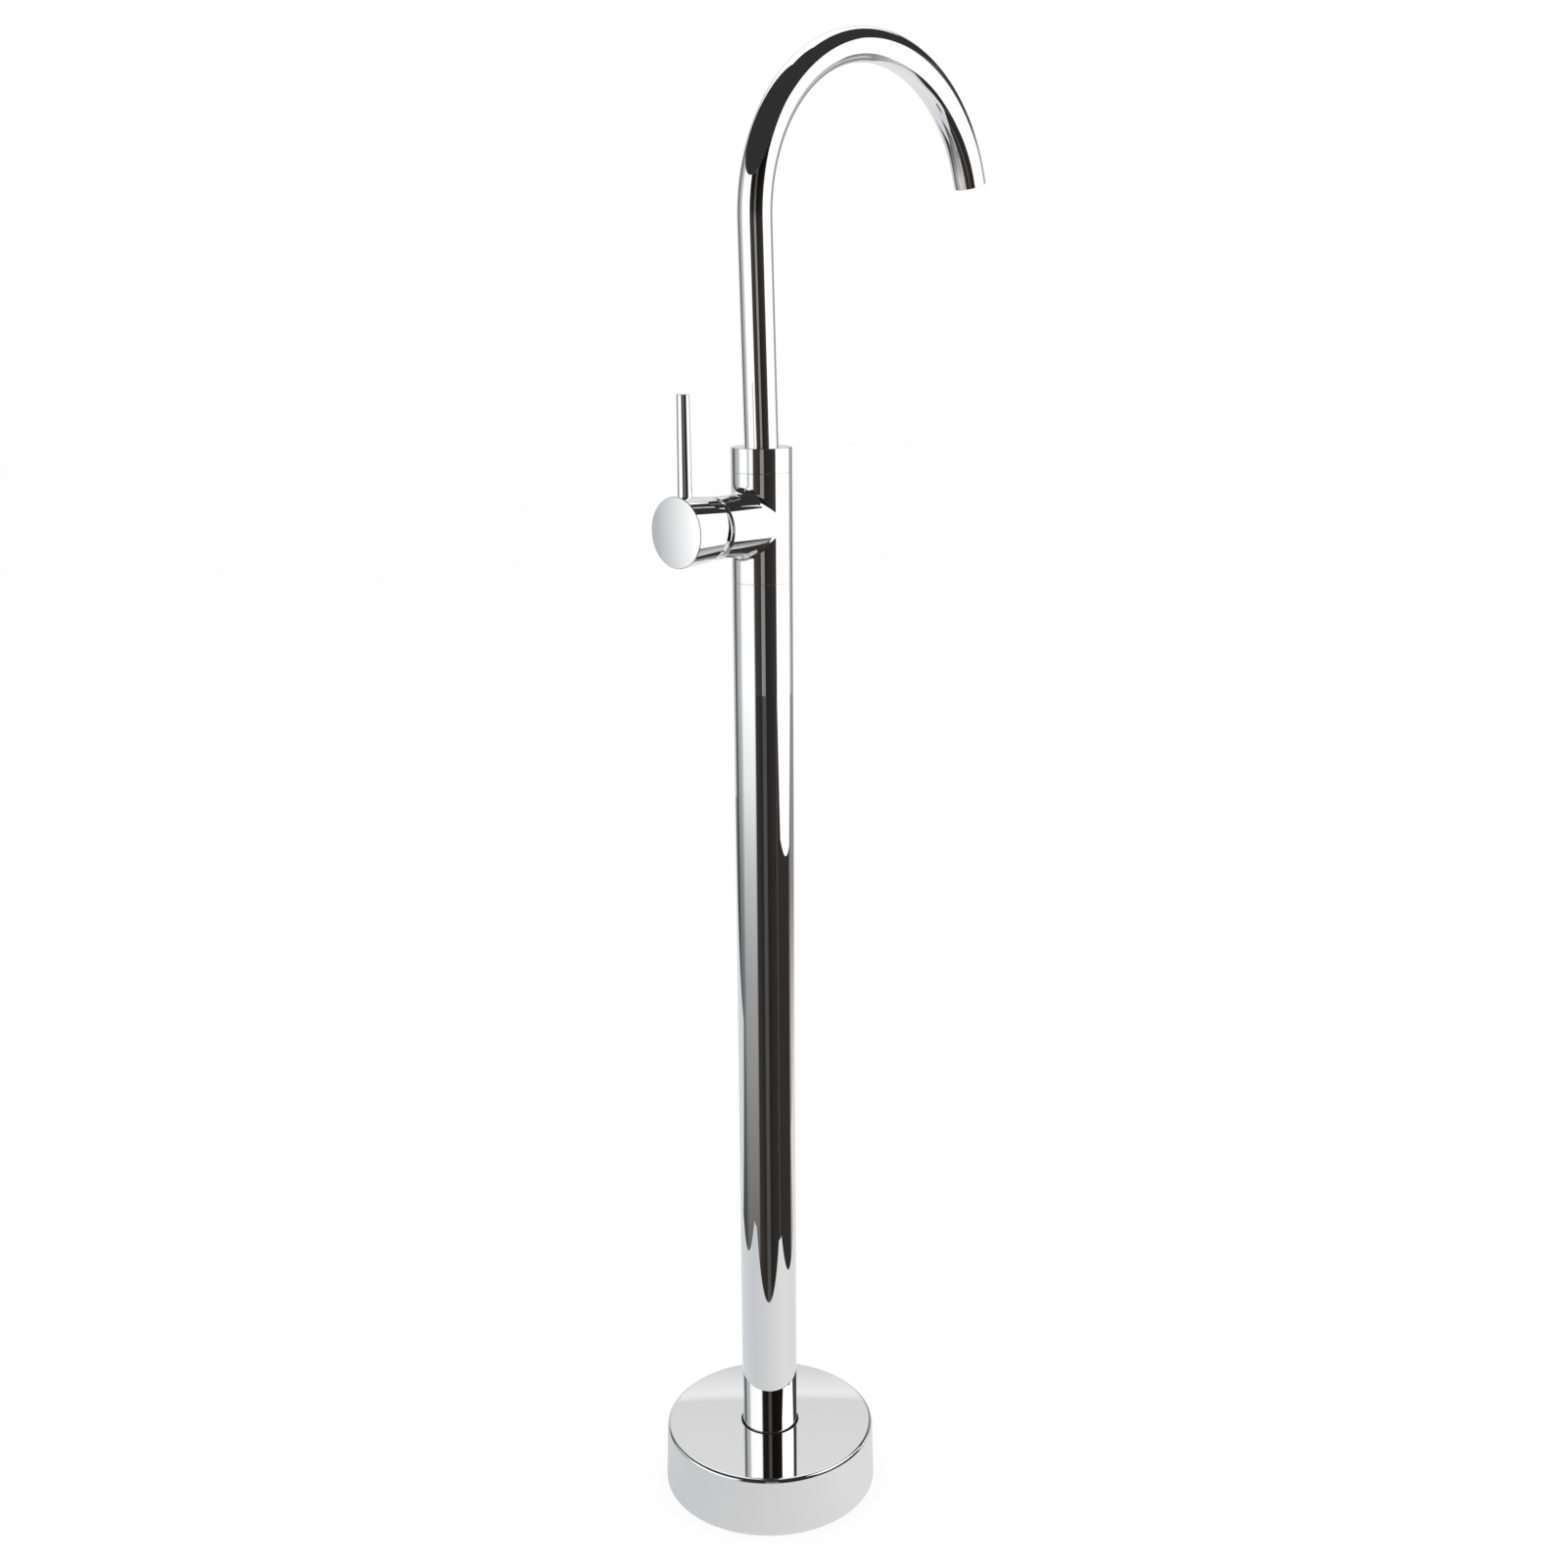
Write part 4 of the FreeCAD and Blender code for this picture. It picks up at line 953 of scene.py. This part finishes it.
def make_floor():
    """A pale floor: white to the camera apart from the soft shadow that lies on it."""
    material = bpy.data.materials.new("pale_floor")
    material.use_nodes = True
    shader = Shader(material.node_tree)
    shader.nodes.remove(shader.nodes["Principled BSDF"])
    matt = shader.add("ShaderNodeBsdfDiffuse")
    matt.inputs["Color"].default_value = (FLOOR_TONE, FLOOR_TONE, FLOOR_TONE, 1)
    white = shader.add("ShaderNodeEmission")
    share = shader.add("ShaderNodeMath", operation="MULTIPLY")
    share.inputs[1].default_value = FLOOR_WHITE
    shader.join(seen_rays(shader, FLOOR_IN_METAL), share.inputs[0])
    mix = shader.add("ShaderNodeMixShader")
    shader.join(share.outputs["Value"], mix.inputs["Fac"])
    shader.join(matt.outputs["BSDF"], mix.inputs[1])
    shader.join(white.outputs["Emission"], mix.inputs[2])
    shader.join(mix.outputs["Shader"], shader.nodes["Material Output"].inputs["Surface"])
    reach = FLOOR_REACH
    corners = [(-reach, -reach, 0), (reach, -reach, 0), (reach, reach, 0), (-reach, reach, 0)]
    stage_object("floor", corners, [(0, 1, 2, 3)], material)


def add_lamp(name, place, size, power):
    data = bpy.data.lights.new(name, "AREA")
    data.shape = "RECTANGLE"
    data.size, data.size_y = size
    data.energy = power
    lamp = bpy.data.objects.new(name, data)
    bpy.context.scene.collection.objects.link(lamp)
    lamp.location = STUDIO_TURN @ Vector(place)
    lamp.rotation_euler = (LAMP_AIM - lamp.location).to_track_quat("-Z", "Y").to_euler()
    lamp.visible_glossy = False


# ------------------------------------------------------------------ cards that the metal mirrors: painted light

# What stands round the object, as the camera sees it: across is to its right and back is away
# from it. Angles are in degrees round the object, 0 towards the camera and positive to its right.
ROOM_RADIUS = 3.2
ROOM_HEIGHT = 2.4
FRONT_START = -30
FRONT_END = 50
LEFT_START = -150
RIGHT_END = 160
GROUND_RADIUS = 0.25
GROUND_FRONT_END = 105
BACKDROP_RADIUS = 2.2
BACKDROP_START = 158
BACKDROP_END = 222
# Height of the bright line painted on the backdrop, where the light above it ends.
BACKDROP_LIGHT_EDGE = 1.475
TOP_SOFTBOX_START = 150
TOP_SOFTBOX_RADIUS = 0.35
CEILING_HOLE = 0.001
PAPER_LEFT = -0.40
PAPER_RIGHT = 0.36
PAPER_FRONT = -0.31
PAPER_CORNER = 0.06
PAPER_STEP = 0.25
PAPER_WIDE_LEFT = -1.0
PAPER_WIDE_RIGHT = 0.63
SOFTBOX_AWAY = 0.58
SOFTBOX_NEAR = -0.44
SOFTBOX_FAR = 0.34
SOFTBOX_FOOT = 0.375
SOFTBOX_TOP = 1.41
SOFTBOX_CORNER = 0.14
SOFTBOX_FAR_CORNER = 0.22
CURTAIN_TINT = (1.0, 0.86, 0.8)
BLACK_CLOTH = (0.028, 0.028, 0.028)
CARD_GLOW = 1.06
CARD_LIFT = 0.5 * MM
CARD_STEPS = 48


def warm(grey):
    """A dark tone with the curtain's faint brown in it."""
    return tuple(grey * share for share in CURTAIN_TINT)


# Painted light and shade all round the left side: shared by the wall and the ground below it.
LEFT_TONES = [
    (-180, 0.42),
    (-150, 0.4),
    (-140, 0.3),
    (-132, 0.1),
    (-121, 0.12),
    (-114, (0.39, 0.396, 0.405)),
    (-97, (0.45, 0.46, 0.472)),
    (-84, 0.97),
    (-38, 1.0),
    (-34, 0.75),
    (-30, 0.06),
]


def spread(shader, measure, stops):
    """A tone for each value of a measure, from (value, grey or colour) stops that rise."""
    first, last = stops[0][0], stops[-1][0]
    span = shader.add("ShaderNodeMapRange")
    span.inputs["From Min"].default_value = first
    span.inputs["From Max"].default_value = last
    shader.join(measure, span.inputs["Value"])
    ramp = shader.add("ShaderNodeValToRGB")
    steps = ramp.color_ramp.elements
    while len(steps) < len(stops):
        steps.new(0.5)
    for step, (value, tone) in zip(steps, stops):
        step.position = (value - first) / (last - first)
        step.color = (*tone, 1) if isinstance(tone, tuple) else (tone, tone, tone, 1)
    shader.join(span.outputs["Result"], ramp.inputs["Fac"])
    return ramp.outputs["Color"]


def angle_measure(shader, parts):
    """The angle round the object in degrees, 0 towards the camera."""
    front = shader.add("ShaderNodeMath", operation="MULTIPLY")
    front.inputs[1].default_value = -1
    shader.join(parts.outputs["Y"], front.inputs[0])
    turn = shader.add("ShaderNodeMath", operation="ARCTAN2")
    shader.join(parts.outputs["X"], turn.inputs[0])
    shader.join(front.outputs["Value"], turn.inputs[1])
    degrees = shader.add("ShaderNodeMath", operation="DEGREES")
    shader.join(turn.outputs["Value"], degrees.inputs[0])
    return degrees.outputs["Value"]


def distance_measure(shader, parts):
    """The distance from the column's axis, whatever the height."""
    flat = shader.add("ShaderNodeCombineXYZ")
    shader.join(parts.outputs["X"], flat.inputs["X"])
    shader.join(parts.outputs["Y"], flat.inputs["Y"])
    length = shader.add("ShaderNodeVectorMath", operation="LENGTH")
    shader.join(flat.outputs["Vector"], length.inputs[0])
    return length.outputs["Value"]


def card_material(name, tint=(1, 1, 1), angle=None, distance=None, height=None):
    """A plain glow for a card, painted light and shade of the room: a tint times tones by angle,
    by distance and by height.
    """
    material = bpy.data.materials.new(name)
    material.use_nodes = True
    shader = Shader(material.node_tree)
    shader.nodes.remove(shader.nodes["Principled BSDF"])
    glow = shader.add("ShaderNodeEmission")
    glow.inputs["Strength"].default_value = CARD_GLOW
    shader.join(glow.outputs["Emission"], shader.nodes["Material Output"].inputs["Surface"])
    place = shader.add("ShaderNodeTexCoord")
    parts = shader.add("ShaderNodeSeparateXYZ")
    shader.join(place.outputs["Object"], parts.inputs["Vector"])
    color = shader.add("ShaderNodeRGB").outputs["Color"]
    color.default_value = (*tint, 1)
    tones = []
    if angle:
        tones.append(spread(shader, angle_measure(shader, parts), angle))
    if distance:
        tones.append(spread(shader, distance_measure(shader, parts), distance))
    if height:
        tones.append(spread(shader, parts.outputs["Z"], height))
    for tone in tones:
        product = shader.add("ShaderNodeVectorMath", operation="MULTIPLY")
        shader.join(color, product.inputs[0])
        shader.join(tone, product.inputs[1])
        color = product.outputs["Vector"]
    shader.join(color, glow.inputs["Color"])
    return material


def card(name, points, faces, material):
    """A card whose glow is a painted reflection for the metal to mirror; it is neither seen nor
    lights.
    """
    piece = stage_object(name, points, faces, material)
    piece.visible_camera = False
    piece.visible_diffuse = False
    piece.visible_shadow = False


def flat_card(name, corners, material):
    card(name, corners, [tuple(range(len(corners)))], material)


def round_card(name, first, last, low, high, material):
    """Part of a drum or of a flat ring round the object; low and high are (radius, height)."""
    points = []
    faces = []
    for step in range(CARD_STEPS + 1):
        angle = math.radians(first + (last - first) * step / CARD_STEPS)
        for radius, height in (low, high):
            points.append((math.sin(angle) * radius, -math.cos(angle) * radius, height))
    for corner in range(0, 2 * CARD_STEPS, 2):
        faces.append((corner, corner + 2, corner + 3, corner + 1))
    card(name, points, faces, material)


def wall_card(name, first, last, radius, material):
    round_card(name, first, last, (radius, 0), (radius, ROOM_HEIGHT), material)


def ground_card(name, first, last, material):
    round_card(name, first, last, (GROUND_RADIUS, CARD_LIFT), (ROOM_RADIUS, CARD_LIFT), material)


def make_softbox():
    """The near softbox on the right, with its corners cut off."""
    near, far = SOFTBOX_NEAR, SOFTBOX_FAR
    foot, top = SOFTBOX_FOOT, SOFTBOX_TOP
    cut, far_cut = SOFTBOX_CORNER, SOFTBOX_FAR_CORNER
    outline = [
        (near + cut, foot),
        (far - cut, foot),
        (far, foot + cut),
        (far, top - far_cut),
        (far - far_cut, top),
        (near + cut, top),
        (near, top - cut),
        (near, foot + cut),
    ]
    corners = [(SOFTBOX_AWAY, back, up) for back, up in outline]
    flat_card("right_softbox", corners, card_material("softbox_cloth"))


def make_walls():
    """Painted light and shade of the room: a dark curtain with a pale gap in front, a lit left
    side, and the backdrop behind.
    """
    front = card_material(
        "front_wall_tone",
        angle=[
            (FRONT_START, 0.06),
            (-28, warm(0.05)),
            (-6, warm(0.03)),
            (-5, 0.24),
            (8, 0.22),
            (9, warm(0.018)),
            (30, warm(0.025)),
            (FRONT_END, warm(0.04)),
        ],
        # Painted shade: the curtain darkens above a metre.
        height=[(0, 1.0), (1.0, 1.0), (1.3, 0.5), (2.0, 0.25)],
    )
    wall_card("front_wall", FRONT_START, FRONT_END, ROOM_RADIUS, front)
    left = card_material("left_wall_tone", angle=LEFT_TONES)
    wall_card("left_wall", LEFT_START, FRONT_START, ROOM_RADIUS, left)
    right = card_material(
        "right_wall_tone",
        angle=[(FRONT_END, 0.04), (104, 0.04), (108, 0.7), (120, 0.8), (128, 0.4), (150, 0.25)],
        # Painted light and shade: bright between 108 and 128 degrees, dark above 1.75 m.
        height=[(0, 1.0), (1.55, 1.0), (1.75, 0.12), (ROOM_HEIGHT, 0.12)],
    )
    wall_card("right_wall", FRONT_END, RIGHT_END, ROOM_RADIUS, right)
    backdrop = card_material(
        "backdrop_tone",
        angle=[(-180, 1.0), (-168, 1.0), (-140, 0.7), (158, 0.4), (168, 1.0), (180, 1.0)],
        # Painted light and shade: the backdrop dims to its sides and upwards to a thin painted
        # bright line, then brightens to the top.
        height=[
            (0.0, 0.75),
            (BACKDROP_LIGHT_EDGE - 0.08, 0.61),
            (BACKDROP_LIGHT_EDGE - 0.005, 0.82),
            (BACKDROP_LIGHT_EDGE, 0.64),
            (ROOM_HEIGHT, 0.8),
        ],
    )
    wall_card("backdrop", BACKDROP_START, BACKDROP_END, BACKDROP_RADIUS, backdrop)


def make_ceiling():
    """Black cloth overhead, with a long softbox hung below it towards the back."""
    cloth = card_material("ceiling_tone", BLACK_CLOTH)
    inner, outer = (CEILING_HOLE, ROOM_HEIGHT), (ROOM_RADIUS, ROOM_HEIGHT)
    round_card("ceiling", -180, 180, inner, outer, cloth)
    lit = ROOM_HEIGHT - CARD_LIFT
    inner, outer = (TOP_SOFTBOX_RADIUS, lit), (BACKDROP_RADIUS, lit)
    top = card_material("top_cloth")
    round_card("top_softbox", TOP_SOFTBOX_START, BACKDROP_END, inner, outer, top)


def make_ground():
    """The floor in the metal, its light and shade painted as glow: grey to the left, dark in
    front, paler at the back right.
    """
    grey = card_material(
        "grey_ground",
        angle=LEFT_TONES,
        # Painted light and shade: the grey floor is darkest near the object and brightens with
        # distance.
        distance=[
            (0.35, 0.11),
            (0.54, 0.18),
            (0.83, 0.26),
            (1.16, 0.33),
            (1.63, 0.48),
            (2.29, 0.79),
            (ROOM_RADIUS, 1.0),
        ],
    )
    ground_card("left_ground", -180, FRONT_START, grey)
    dark = card_material(
        "dark_ground",
        angle=[
            (FRONT_START, warm(0.04)),
            (-5, warm(0.02)),
            (-4, 0.07),
            (9, 0.07),
            (11, warm(0.018)),
            (30, warm(0.025)),
            (47, warm(0.03)),
            (49, 0.1),
            (51, warm(0.03)),
            (GROUND_FRONT_END, warm(0.03)),
        ],
    )
    ground_card("dark_ground", FRONT_START, GROUND_FRONT_END, dark)
    right = card_material(
        "right_ground",
        angle=[(GROUND_FRONT_END, 0.06), (112, 0.3), (122, 0.5), (180, 0.5)],
        # Painted light: brighter within about a metre, half as bright further out.
        distance=[(0.6, 1.0), (0.95, 1.0), (1.6, 0.5), (ROOM_RADIUS, 0.5)],
    )
    ground_card("right_ground", GROUND_FRONT_END, 180, right)


def make_paper():
    """The paper under the object, and the wider sheet behind it up to the backdrop."""
    paper = card_material(
        # Painted light and shade on the white paper: darkest and a little blue to the front left,
        # palest at the back.
        "paper",
        angle=[
            (-180, 0.74),
            (-120, (0.6, 0.61, 0.63)),
            (-60, (0.54, 0.55, 0.57)),
            (-20, 0.58),
            (20, 0.63),
            (60, 0.69),
            (120, 0.67),
            (180, 0.74),
        ],
    )
    lift = 2 * CARD_LIFT
    front = [
        (PAPER_LEFT, PAPER_STEP),
        (PAPER_LEFT, PAPER_FRONT + PAPER_CORNER),
        (PAPER_LEFT + PAPER_CORNER, PAPER_FRONT),
        (PAPER_RIGHT - PAPER_CORNER, PAPER_FRONT),
        (PAPER_RIGHT, PAPER_FRONT + PAPER_CORNER),
        (PAPER_RIGHT, PAPER_STEP),
    ]
    wide = [
        (PAPER_WIDE_LEFT, PAPER_STEP),
        (PAPER_WIDE_RIGHT, PAPER_STEP),
        (PAPER_WIDE_RIGHT, BACKDROP_RADIUS),
        (PAPER_WIDE_LEFT, BACKDROP_RADIUS),
    ]
    for name, outline in (("paper_front", front), ("paper_back", wide)):
        flat_card(name, [(across, back, lift) for across, back in outline], paper)


# ------------------------------------------------------------------ the whole picture

dress_nodes()
make_base_cover()
make_column()
make_mixer_body()
make_collar()
make_dome_cap()
make_spout()
make_knob()
make_lever()

make_camera()
make_surroundings()
make_floor()
make_softbox()
make_walls()
make_ceiling()
make_ground()
make_paper()
for lamp_name, (lamp_place, lamp_size, lamp_power) in LAMPS.items():
    add_lamp(lamp_name, lamp_place, lamp_size, lamp_power)

bpy.context.scene.view_settings.view_transform = "Standard"
